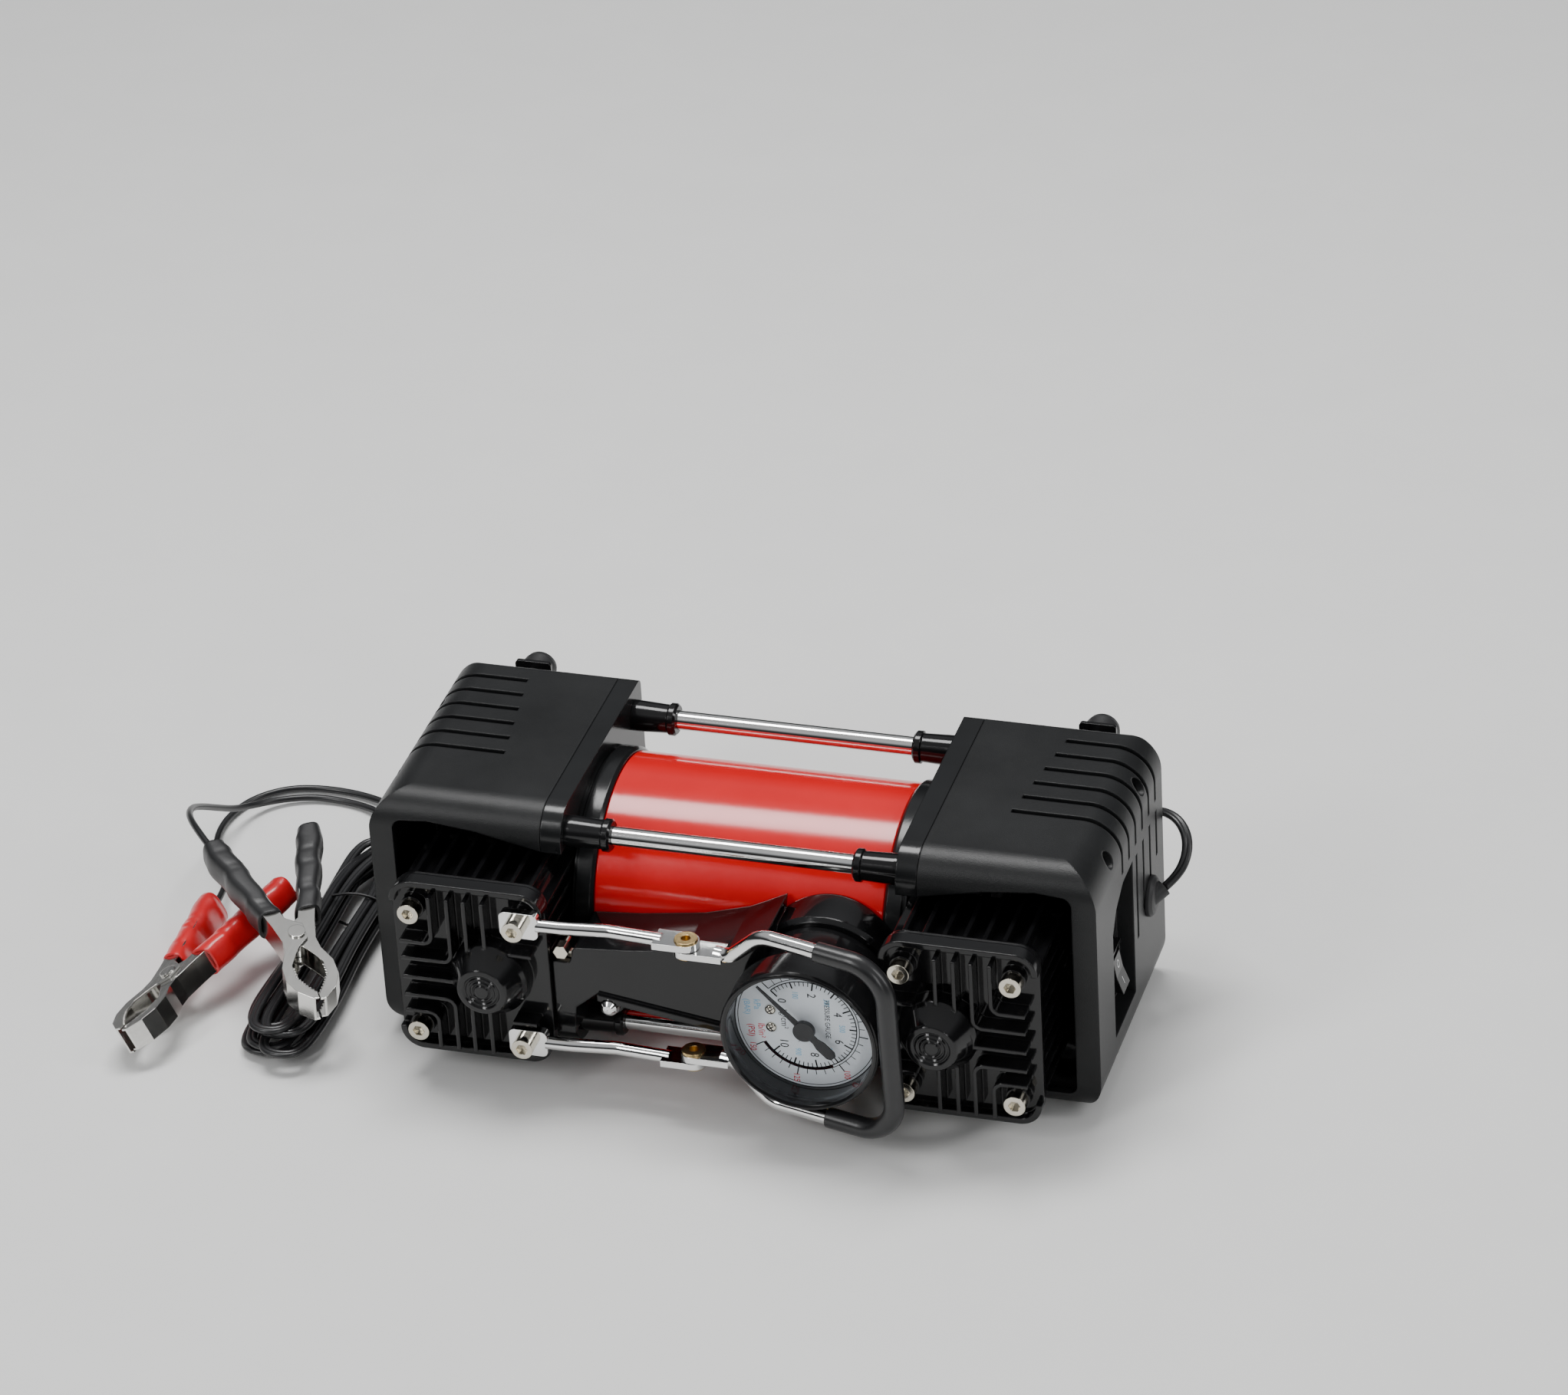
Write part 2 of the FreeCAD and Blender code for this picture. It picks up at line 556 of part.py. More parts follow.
def pistons():
    """A piston in one piece with its rod, and the cup seal in the piston's groove."""
    crown = round_bar("y", ("head_x", "head_z"), "bore_radius - 1.2", "block_front + 1.4", "block_front + 8")
    neck = box(("head_x - 3.5", "block_front + 7", "head_z - 5"), ("head_x + 3.5", "-stroke / 2 - 8", "head_z + 5"))
    eye = round_bar("x", ("-stroke / 2", "head_z"), "10.5", "head_x - 3.5", "head_x + 3.5")
    hole = round_bar("x", ("-stroke / 2", "head_z"), "6", "head_x - 4", "head_x + 4")
    groove = cut(round_bar("y", ("head_x", "head_z"), "bore_radius + 1", "block_front + 3", "block_front + 5.5"),
                 round_bar("y", ("head_x", "head_z"), "bore_radius - 3", "block_front + 2", "block_front + 6"))
    both_sides("piston_rod", cut(fuse(crown, neck, eye), hole, groove))
    both_sides("piston_cup", turned("y", ("head_x", "head_z"),
                                    [("block_front + 3.05", "bore_radius - 2.95"),
                                     ("block_front + 3.05", "bore_radius - 0.06"),
                                     ("block_front + 5.45", "bore_radius - 0.06"),
                                     ("block_front + 5.45", "bore_radius - 2.95")]))


# ---------------------------------------------------------------- manifold and gauge

def manifold():
    """A casting between the heads: a neck that widens into the round pod behind the gauge."""
    neck = prism("y", [("-65.6", "-30"), ("-65.6", "2.4"), ("-58.4", "2.4"), ("-56.6", "9.4"),
                       ("-37", "11.0"), ("-12", "14.2"), ("6", "18.6"), ("20", "24.4"), ("20", "-30"),
                       ("-1", "-18.4"), ("-24", "-13.6"), ("-48", "-10.0"), ("-57.4", "-18"),
                       ("-58.4", "-30")],
                  "neck_front", "neck_back + 10", [("1.4", [1, 2, 3, 4])])
    bead = prism("y", [("-48", "-12.6"), ("-48", "-9.8"), ("4", "-17.6"), ("14", "-23.0"),
                       ("14", "-26.0"), ("4", "-20.4")], "neck_front - 1.6", "neck_front + 2")
    pod = turned("y", ("gauge_x", "gauge_z"), [("pod_front", "0"), ("pod_front", "gauge_radius - 1.6"),
                                               ("pod_front + 1.6", "gauge_radius"),
                                               ("-30", "gauge_radius"), ("-30", "0")])
    groove = box(("-34", "neck_front + 8", "21.8"), ("12", "neck_front + 14", "26"))
    can = round_bar("x", ("0", "0"), "collar_radius + 0.35", "-80", "80")
    boss = round_bar("z", ("gauge_x", "nipple_y"), "5", "gauge_z - gauge_radius - 2", "gauge_z - gauge_radius + 6")
    valve_boss = round_bar("y", ("-43.6", "-15.4"), "5", "neck_front + 3", "neck_back")
    rod_ways = [round_bar("x", ("-rod_place", up), "socket_radius + 0.4", "-70", "70")
                for up in ("rod_place", "-rod_place")]
    end_room = box(("head_x - head_half_x - 0.5", "-100", "-60"), ("head_x", "0", "60"))
    seats = [round_bar("y", ("gauge_x", "gauge_z"), "27.5", "-100", "pod_front"),
             round_bar("y", ("-43.6", "-15.4"), "3.8", "-80", "neck_front + 3"),
             round_bar("y", ("-61.6", "7.2"), "3.2", "-80", "neck_front + 9.1"),
             box(("-65", "neck_front + 3", "2.2"), ("-58.2", "neck_front + 6.1", "5.6"))]
    keep("manifold", cut(fuse(neck, bead, pod, boss, valve_boss), can, groove, end_room,
                         mirrored(end_room), *(seats + rod_ways)))
    keep("relief_valve", turned("y", ("-43.6", "-15.4"),
                                [("neck_front - 3.4", "0"), ("neck_front - 3.0", "1.8"),
                                 ("neck_front - 1.8", "3.2"), ("neck_front", "3.8"),
                                 ("neck_front + 3", "3.8"), ("neck_front + 3", "0")]))
    nut = hexagon(("-61.6", "7.2"), "2.6", "neck_front - 1", "neck_front + 4")
    stem = round_bar("y", ("-61.6", "7.2"), "1.6", "neck_front + 4", "neck_front + 9")
    bracket = box(("-64.6", "neck_front + 3.4", "2.4"), ("-58.6", "neck_front + 6", "5.4"))
    keep("manifold_nut", fuse(nut, stem, bracket))
    foot = "gauge_z - gauge_radius"
    keep("hose_nipple", turned("z", ("gauge_x", "nipple_y"),
                               [(foot + " - 13.5", "0"), (foot + " - 13.5", "2.6"), (foot + " - 12.5", "3.6"),
                                (foot + " - 9.6", "3.6"), (foot + " - 8.8", "2.9"), (foot + " - 7.6", "2.9"),
                                (foot + " - 7", "4.5"), (foot + " - 2", "4.5"), (foot + " - 2", "0")]))


def gauge():
    """A round case with a thick bezel, the dial on a step inside it, and a domed lens."""
    front = "gauge_front"
    keep("gauge_case", turned("y", ("gauge_x", "gauge_z"),
                              [("pod_front", "0"), ("pod_front", "27.5"), ("dial_y + 3", "27.5"),
                               ("dial_y + 2.2", "gauge_radius"), (front + " + 1.4", "gauge_radius"),
                               (front + " + 0.3", "gauge_radius - 0.6"), (front, "gauge_radius - 1.4"),
                               (front + " + 0.6", "gauge_radius - 2.4"),
                               (front + " + 2.6", "gauge_radius - 2.6"),
                               ("dial_y + 1", "gauge_radius - 2.6"), ("dial_y + 1", "25"),
                               ("pod_front - 3", "25"), ("pod_front - 3", "0")]))
    keep("gauge_dial", turned("y", ("gauge_x", "gauge_z"), [("dial_y", "0"), ("dial_y", "dial_radius"),
                                                            ("dial_y + 1", "dial_radius"),
                                                            ("dial_y + 1", "0")]))
    keep("gauge_lens", turned("y", ("gauge_x", "gauge_z"),
                              [(front + " - 0.4", "0"), (front + " + 0.2", "11"), (front + " + 1.4", "20"),
                               (front + " + 2.6", "25.5"), (front + " + 3.2", "dial_radius"),
                               (front + " + 5.4", "dial_radius"), (front + " + 4.8", "25"),
                               (front + " + 3.4", "20"), (front + " + 2.2", "11"), (front + " + 1.6", "0")]))
    hub = round_bar("y", ("gauge_x", "gauge_z"), "4.2", "dial_y - 5.4", "dial_y - 3.4")
    spindle = round_bar("y", ("gauge_x", "gauge_z"), "1.4", "dial_y - 5.4", "dial_y - 0.3")
    keep("gauge_needle", fuse(hub, spindle, feature(needle_blade())))


def needle_blade():
    """A long tapered pointer and its broad counterweight, in the plane of the dial."""
    zero = math.radians(135.0)
    along = Vector(math.cos(zero), 0, math.sin(zero))
    side = Vector(along.z, 0, -along.x)
    centre = world("gauge_x", "dial_y - 4.6", "gauge_z")
    shape = [(25.0, 0.35), (4.0, 1.1), (0.0, 1.6), (-6.0, 1.4), (-8.5, 2.2), (-14.0, 2.2), (-15.5, 1.2)]
    ring = [centre + along * reach + side * wide for reach, wide in shape]
    ring += [centre + along * reach - side * wide for reach, wide in reversed(shape)]
    return Part.Face(Part.makePolygon(ring + [ring[0]])).extrude(Vector(0, 0.7, 0))


# ---------------------------------------------------------------- bent rods, cords and leads

def rounded_path(points, radii):
    """Straight runs joined by tangent arcs at the inner points."""
    edges = []
    start = points[0]
    for index in range(1, len(points) - 1):
        before = (points[index - 1] - points[index]).normalize()
        after = (points[index + 1] - points[index]).normalize()
        turn = math.pi - before.getAngle(after)
        reach = radii[index - 1] * math.tan(turn / 2)
        first = points[index] + before * reach
        last = points[index] + after * reach
        inward = (before + after).normalize()
        middle = points[index] + inward * (radii[index - 1] / math.cos(turn / 2) - radii[index - 1])
        edges.append(Part.LineSegment(start, first).toShape())
        edges.append(Part.Arc(first, middle, last).toShape())
        start = last
    edges.append(Part.LineSegment(start, points[-1]).toShape())
    return Part.Wire(edges)


def bent_rod(points, radius, radii):
    """A round rod along straight runs joined by tangent arcs."""
    circle = Part.Wire(Part.makeCircle(radius, points[0], points[1] - points[0]))
    return rounded_path(points, radii).makePipeShell([circle], True, True)


def feature(shape):
    item = doc.addObject("Part::Feature", "shape")
    item.Shape = shape
    return item


def cord(name, route, width):
    """A cord as a plain tube; each arc is as large as the two runs beside it allow."""
    points = [world(*spot) for spot in route]
    radii = []
    for index in range(1, len(points) - 1):
        one = points[index] - points[index - 1]
        two = points[index + 1] - points[index]
        radii.append(0.45 * min(one.Length, two.Length) / math.tan(one.getAngle(two) / 2))
    tube = bent_rod(points, number(width) / 2, radii)
    section = math.pi * number(width) ** 2 / 4
    path = rounded_path(points, radii)
    print("%s: %.1f mm long, volume %.3f of section times length, arc radii %s" % (
        name, path.Length, tube.Volume / (section * path.Length), " ".join("%.1f" % one for one in radii)))
    keep(name, feature(tube))


# ---------------------------------------------------------------- carry handle

def handle_arm(name, level):
    """A rod with an upright plate under a head bolt and a flat tongue at the pivot."""
    route = [world("-67.4", "bolt_tip + 3.1", level), world("-58", "-80.4", level),
             world("-40", "-78.6", level), world("-18", "-80", level)]
    rod = bent_rod(route, number("arm_radius"), [14.0, 14.0])
    bolt_x = "-head_x + bolt_x"
    plate = prism("y", rectangle((bolt_x + " - 6.6", level + " - 5.6"), (bolt_x + " + 8.6", level + " + 5.6")),
                  "bolt_tip + 5 - arm_plate", "bolt_tip + 5", [("2.4", [0, 1, 2, 3])])
    low, high = level + " - tongue / 2", level + " + tongue / 2"
    tongue = box(("-20.5", "pivot_y - 5.2", low), ("pivot_x", "pivot_y + 5.2", high))
    tip = round_bar("z", ("pivot_x", "pivot_y"), "5.2", low, high)
    hole = round_bar("z", ("pivot_x", "pivot_y"), "3.3", level + " - 5", level + " + 5")
    bolt_hole = round_bar("y", (bolt_x, level), "2.3", "bolt_tip - 1", "bolt_tip + 6")
    keep(name, cut(fuse(plate, feature(rod), tongue, tip), hole, bolt_hole))


def carry_handle():
    """The swinging bow: two flat tongues inside the arms, two legs and a crossbar round the gauge."""
    upper, lower = "arm_top - tongue - tongue_gap", "arm_low + tongue + tongue_gap"
    tongues, holes = [], []
    for level in (upper, lower):
        low, high = level + " - tongue / 2", level + " + tongue / 2"
        tongues += [box(("pivot_x", "pivot_y - 5.2", low), ("6.5", "pivot_y + 5.2", high)),
                    round_bar("z", ("pivot_x", "pivot_y"), "5.2", low, high)]
        holes.append(round_bar("z", ("pivot_x", "pivot_y"), "3.3", level + " - 4", level + " + 4"))
    route = [world("3", "pivot_y", upper), world("9", "pivot_y - 1", upper),
             world("23", "pivot_y - 5", "bow_top"), world("bow_x - 1", "bow_y", "bow_top"),
             world("bow_x + 1", "bow_y", "bow_low"), world("23", "pivot_y - 5", "bow_low"),
             world("9", "pivot_y - 1", lower), world("3", "pivot_y", lower)]
    bow = bent_rod(route, number("bow_radius"), [8.0, 12.0, 15.0, 15.0, 12.0, 8.0])
    keep("carry_handle", cut(fuse(feature(bow), *tongues), *holes))
    grip = [route[2] + (route[3] - route[2]) * 0.46, route[3], route[4], route[4] + (route[5] - route[4]) * 0.54]
    outer = bent_rod(grip, number("grip_radius"), [15.0, 15.0])
    inner = bent_rod(grip, number("bow_radius"), [15.0, 15.0])
    keep("handle_sleeve", feature(outer.cut(inner)))


def eyelets():
    """A rolled tube with a flared rim at each end, through an arm's tongue and the bow's."""
    stack = [("arm_top - tongue * 1.5 - tongue_gap", "arm_top + tongue / 2"),
             ("arm_low - tongue / 2", "arm_low + tongue * 1.5 + tongue_gap")]
    rings = []
    for low, high in stack:
        rings.append(turned("z", ("pivot_x", "pivot_y"),
                            [(low + " - 0.9", "1.9"), (low + " - 0.9", "4.4"), (low + " - 0.05", "4.7"),
                             (low + " - 0.05", "3.24"), (high + " + 0.05", "3.24"), (high + " + 0.05", "4.7"),
                             (high + " + 0.9", "4.4"), (high + " + 0.9", "1.9")]))
    keep("handle_eyelets", group(*rings))


# ---------------------------------------------------------------- switch, cord outlet, feet

def switch():
    """A rocker switch; the rocker's upper half is pressed in and its lower half stands out."""
    floor = "end_x - recess_deep"
    rim = box((floor, "switch_y - 7.5", "switch_z - 10.5"), (floor + " + 3", "switch_y + 7.5", "switch_z + 10.5"))
    barrel = box((floor + " - 14", "switch_y - 6", "switch_z - 9.9"), (floor, "switch_y + 6", "switch_z + 9.9"))
    pocket = box((floor + " - 8", "switch_y - 5", "switch_z - 9.2"), (floor + " + 4", "switch_y + 5", "switch_z + 9.2"))
    keep("switch_housing", cut(fuse(rim, barrel), pocket))
    profile = [(floor + " - 1.2", "switch_z + 6.4"), (floor + " + 3", "switch_z + 7.2"),
               (floor + " + 4.3", "switch_z"), (floor + " + 6.8", "switch_z - 7"),
               (floor + " - 1.2", "switch_z - 6.4"), (floor + " - 4.5", "switch_z")]
    keep("switch_rocker", prism("y", profile, "switch_y - 4.7", "switch_y + 4.7"))


def cord_relief():
    """A round grommet in the end cover with a short nozzle that points up and back."""
    grommet = turned("x", ("relief_y", "relief_z"), [("end_x - 3", "0"), ("end_x - 3", "5.1"),
                                                     ("end_x + 0.05", "5.1"), ("end_x + 0.05", "8.2"),
                                                     ("end_x + 1.4", "8.2"), ("end_x + 2.6", "7.0"),
                                                     ("end_x + 3.0", "5.0"), ("end_x + 3.0", "0")])
    root = world("end_x - 1", "relief_y - 2.6", "relief_z - 1.9")
    nozzle = Part.makeCylinder(3.3, 9.4, root, CORD_EXIT)
    keep("cord_relief", fuse(grommet, feature(nozzle)))
    return root + CORD_EXIT * 9.4


def feet():
    """Four posts on the rear face, each with a square plate and a rubber pad."""
    plates, pads = [], []
    for side in ("1", "(-1)"):
        for up in ("1", "(-1)"):
            x, z = "%s * foot_x" % side, "%s * foot_z" % up
            plates.append(prism("y", rectangle((x + " - 7.4", z + " - 7.4"), (x + " + 7.4", z + " + 7.4")),
                                "foot_plate", "foot_plate + 1.6", [("1.5", [0, 1, 2, 3])]))
            neck = [("half_depth", "0"), ("half_depth", "5.2"), ("foot_plate", "4.8"), ("foot_plate", "0")]
            pad = [("foot_plate + 1.6", "0"), ("foot_plate + 1.6", "6.6"), ("foot_end - 3.5", "7.0"),
                   ("foot_end - 1.2", "6.4"), ("foot_end", "5.0"), ("foot_end", "0")]
            pads += [turned("y", (x, z), neck), turned("y", (x, z), pad)]
    keep("foot_plates", group(*plates))
    keep("rubber_feet", group(*pads))


# ---------------------------------------------------------------- cord and battery clamps

def clamp_pad(points, half):
    """A pad of an outline in a clamp's own frame: handle along X, pivot along Z, half thickness."""
    body = doc.addObject("PartDesign::Body", "clamp_body")
    sketch = sketch_in(body, "XY_Plane")
    outline(sketch, points)
    pad = body.newObject("PartDesign::Pad", "pad")
    pad.Profile = sketch
    pad.setExpression("Length", "2 * (%s)" % bound(half))
    body.Tip = pad
    body.setExpression("Placement.Base.z", "-(%s)" % bound(half))
    return body


def clamp_bar(radius, half):
    bar = doc.addObject("Part::Cylinder", "bar")
    bar.setExpression("Radius", bound(radius))
    bar.setExpression("Height", "2 * (%s)" % bound(half))
    bar.setExpression("Placement.Base.z", "-(%s)" % bound(half))
    return bar


def on_side(points, side, shift=0.0):
    """The outline on one side of the clamp's middle line, in or out by a shift."""
    return [("%g" % along, "%g" % (side * (wide + shift))) for along, wide in points]


CLAMP_HALF = [(50, 20.1), (20, 12.3), (6, 8.6), (-4, 6.6), (-10, 7.2), (-18, 10.2), (-26, 10.4), (-33, 7.6),
              (-38, 2.6), (-38, 0.3), (-35, 0.3), (-30, 3.8), (-25, 6.2), (-18, 6.2), (-12, 3.2), (-8, 0.8),
              (-4, -3.4), (4, -3.4), (9, 2.6), (20, 5.6), (50, 13.1)]
CLAMP_SLEEVE = [(13, 2.2), (13, 12.6), (24, 15.5), (55, 23.7), (60, 22.7), (60, 15.6), (55, 12.6), (24, 5.3)]
CLAMP_CAVITY = [(10, 2.0), (10, 10.2), (20, 12.8), (50.6, 20.8), (50.6, 12.7), (20, 5.0)]


def clamp_half(side, half):
    """A folded steel half: a web along its outer edge and two side plates."""
    shell = cut(clamp_pad(on_side(CLAMP_HALF, side), half),
                clamp_pad(on_side(CLAMP_HALF, side, -0.9), half + " - plate_thick"))
    return cut(shell, clamp_bar("rivet_radius + 0.1", "10"))


def clamp_sleeve(side, half):
    return cut(clamp_pad(on_side(CLAMP_SLEEVE, side), half + " + 1.25"),
               clamp_pad(on_side(CLAMP_CAVITY, side), half + " + 0.05"))


def put_clamp(obj, colour):
    """Move a clamp piece from the clamp's own frame to where the clamp lies, pitched and rolled."""
    place(obj, colour + "_x", colour + "_y", colour + "_z")
    heading = Rotation(Vector(0, 0, 1), number(colour + "_heading"))
    roll = Rotation(Vector(1, 0, 0), -number(colour + "_roll"))
    pitch = Rotation(Vector(0, 1, 0), number(colour + "_pitch"))
    obj.Placement.Rotation = heading.multiply(pitch).multiply(roll)
    return obj


def clamps():
    rivets, springs = [], []
    for colour in ("red", "black"):
        keep(colour + "_clamp_base", put_clamp(clamp_half(1, "wide_half"), colour))
        keep(colour + "_base_sleeve", put_clamp(clamp_sleeve(1, "wide_half"), colour))
        keep(colour + "_clamp_jaw", put_clamp(clamp_half(-1, "narrow_half"), colour))
        keep(colour + "_jaw_sleeve", put_clamp(clamp_sleeve(-1, "narrow_half"), colour))
        shank = clamp_bar("rivet_radius", "wide_half + 0.8")
        heads = cut(clamp_bar("3.4", "wide_half + 0.8"), clamp_bar("4", "wide_half + 0.04"))
        rivets.append(put_clamp(fuse(shank, heads), colour))
        springs.append(put_clamp(cut(clamp_bar("3.9", "narrow_half - 1"), clamp_bar("2.3", "10")), colour))
    keep("clamp_rivets", group(*rivets))
    keep("clamp_springs", group(*springs))


def hank():
    """The folded bundle of spare cord as one closed solid, and the wire tie round it."""
    bundle = prism("y", rectangle(("hank_left", "hank_low"), ("hank_right", "hank_top")),
                   "hank_front", "hank_rear", [("5", [0, 1, 2, 3])])
    keep("cord_hank", bundle)
    band = prism("y", rectangle(("hank_left - 1.1", "hank_low - 1.1"), ("hank_right + 1.1", "hank_top + 1.1")),
                 "10", "12.4", [("6.1", [0, 1, 2, 3])])
    inside = prism("y", rectangle(("hank_left", "hank_low"), ("hank_right", "hank_top")),
                   "9", "13", [("5", [0, 1, 2, 3])])
    keep("cord_tie", cut(band, inside))


CORD_EXIT = Vector(0.643, 0.613, 0.460).normalize()
CORD_ROUTE = [("155.2", "43.5", "6.2"), ("153.4", "50.4", "11.4"), ("147.6", "56.2", "14.8"),
              ("138.6", "61.2", "13.6"), ("127", "66.2", "6.8"), ("112.4", "71.4", "-4.2"),
              ("95.4", "77", "-17.6"), ("76", "81.8", "-31"), ("54", "85.6", "-42.6"),
              ("29", "87.2", "-50"), ("0", "88.4", "-51.5"), ("-31", "91.4", "-51.4"),
              ("-63", "93", "-51.5"), ("-95", "91.6", "-51.4"), ("-125", "93.8", "-51.5"),
              ("-151", "97.4", "-51.2"), ("-169.6", "94", "-50"), ("-177.5", "83", "-48.6"),
              ("-177.5", "hank_rear", "-48.6")]
RED_ROUTE = [("-184", "hank_rear", "-49.4"), ("-184", "82.4", "-49.4"), ("-189.4", "92.6", "-50.8"),
             ("-199", "99.8", "-51.8"), ("-212", "104", "-52.2"), ("-227.6", "105", "-52.2"),
             ("-242", "101.5", "-52"), ("-254", "91", "-52.2"), ("-259", "75", "-52"),
             ("-257.5", "58", "-51.6"), ("-250", "42", "-50.6"), ("-240", "27", "-47.5"),
             ("-236.67", "13.34", "red_z - 5.9"), ("-235.86", "1.6", "red_z - 5.24")]
BLACK_ROUTE = [("-190", "hank_rear", "-49.6"), ("-190", "80", "-49.6"), ("-195.2", "89", "-51"),
               ("-204.4", "94.8", "-52"), ("-216.4", "97.6", "-52.2"), ("-229", "97.2", "-51.8"),
               ("-241", "92.2", "-51.4"), ("-249.4", "83", "-49.4"), ("-252.8", "70.6", "-44"),
               ("-254.4", "57.5", "-35.4"), ("-255", "43.6", "-26"), ("-253.4", "29", "-17"),
               ("-248", "13.5", "black_z + 10"), ("-236.42", "-2.24", "black_z + 12.44"),
               ("-227.9", "-10.1", "black_z + 10.42")]


# ---------------------------------------------------------------- build

def build():
    end_covers()
    cover_screws()
    flange_plate()
    tie_rods()
    motor()
    armature()
    cranks()
    cylinder_block()
    valve_plate()
    head_cover()
    head_bolts()
    pistons()
    manifold()
    gauge()
    handle_arm("upper_handle_arm", "arm_top")
    handle_arm("lower_handle_arm", "arm_low")
    carry_handle()
    eyelets()
    switch()
    feet()
    mouth = cord_relief()
    lead_in = mouth + CORD_EXIT * 7
    ends = [(str(spot.x), "%.6f - axis_y" % spot.y, "%.6f - axis_z" % spot.z) for spot in (mouth, lead_in)]
    cord("power_cord", ends + CORD_ROUTE, "cord_width")
    cord("red_lead", RED_ROUTE, "lead_width")
    cord("black_lead", BLACK_ROUTE, "lead_width")
    hank()
    clamps()


def check_and_write():
    doc.recompute()
    broken = [item.Name for item in doc.Objects if "Invalid" in item.State or "Error" in item.State]
    for name, piece in pieces.items():
        shape = piece.Shape
        if shape.isNull() or not shape.isValid() or not shape.Solids:
            broken.append(name)
    if broken:
        sys.exit("broken objects: " + ", ".join(broken))
    os.makedirs("parts", exist_ok=True)
    for name, piece in pieces.items():
        piece.Shape.exportStep("parts/%s.step" % name)
    print(len(pieces), "nodes written")


build()
check_and_write()
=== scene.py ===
"""Looks of the twin-cylinder air compressor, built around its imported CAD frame."""
import math
import random

import bpy
import bmesh
from mathutils import Matrix, Vector


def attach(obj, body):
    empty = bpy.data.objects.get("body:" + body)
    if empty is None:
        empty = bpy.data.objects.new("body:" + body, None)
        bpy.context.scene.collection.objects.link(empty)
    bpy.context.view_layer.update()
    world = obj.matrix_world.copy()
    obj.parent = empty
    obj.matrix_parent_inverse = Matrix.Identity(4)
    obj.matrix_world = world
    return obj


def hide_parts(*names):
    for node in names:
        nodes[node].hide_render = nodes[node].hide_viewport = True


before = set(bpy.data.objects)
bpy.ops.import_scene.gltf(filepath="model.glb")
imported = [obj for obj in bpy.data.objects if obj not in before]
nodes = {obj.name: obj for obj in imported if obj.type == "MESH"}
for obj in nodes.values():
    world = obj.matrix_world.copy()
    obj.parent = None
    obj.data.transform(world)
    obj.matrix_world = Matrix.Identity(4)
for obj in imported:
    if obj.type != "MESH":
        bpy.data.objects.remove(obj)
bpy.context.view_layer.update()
random.seed(11)
MM = 0.001
# The middle of the motor axis, in millimetres in the shared frame.
AXIS = Vector((0.0, 13.1, 53.8))


def at(x, y, z):
    """A place in metres in the shared frame, from millimetres from the middle of the motor axis."""
    return (Vector((x, y, z)) + AXIS) * MM


def finished_mesh(name, work, smooth=False):
    """The mesh that a bmesh has built up. The bmesh is freed."""
    mesh = bpy.data.meshes.new(name)
    work.to_mesh(mesh)
    work.free()
    if smooth:
        for face in mesh.polygons:
            face.use_smooth = True
    return mesh


def join_rings(work, rings):
    """Faces between each closed ring of vertices and the next."""
    for one, other in zip(rings, rings[1:]):
        for step in range(len(one)):
            after = (step + 1) % len(one)
            work.faces.new((one[step], one[after], other[after], other[step]))


def new_piece(name, data, material, body):
    """A piece of a mesh or a curve, in one material, riding on a body."""
    piece = bpy.data.objects.new(name, data)
    bpy.context.scene.collection.objects.link(piece)
    data.materials.append(material)
    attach(piece, body)
    return piece


# ---------------------------------------------------------------- camera

CAMERA_PLACE = (0.66180, -1.96777, 1.42931)
CAMERA_AZIMUTH, CAMERA_ELEVATION, CAMERA_ROLL = 18.2187, 31.7345, -3.4777
CAMERA_LENS, CAMERA_SENSOR = 148.22, 36.0


def aim_camera():
    """The camera stands front right and above, turned a little about its own line of sight."""
    azimuth, elevation, roll = (math.radians(a) for a in (CAMERA_AZIMUTH, CAMERA_ELEVATION, CAMERA_ROLL))
    back = Vector((math.sin(azimuth) * math.cos(elevation), -math.cos(azimuth) * math.cos(elevation),
                   math.sin(elevation)))
    level = Vector((math.cos(azimuth), math.sin(azimuth), 0.0))
    upright = back.cross(level)
    right = level * math.cos(roll) + upright * math.sin(roll)
    top = upright * math.cos(roll) - level * math.sin(roll)
    data = bpy.data.cameras.new("camera")
    data.sensor_width = CAMERA_SENSOR
    data.lens = CAMERA_LENS
    data.clip_start, data.clip_end = 0.05, 30.0
    camera = bpy.data.objects.new("camera", data)
    bpy.context.scene.collection.objects.link(camera)
    turn = Matrix((right, top, back)).transposed().to_4x4()
    camera.matrix_world = Matrix.Translation(CAMERA_PLACE) @ turn
    bpy.context.scene.camera = camera


# ---------------------------------------------------------------- materials

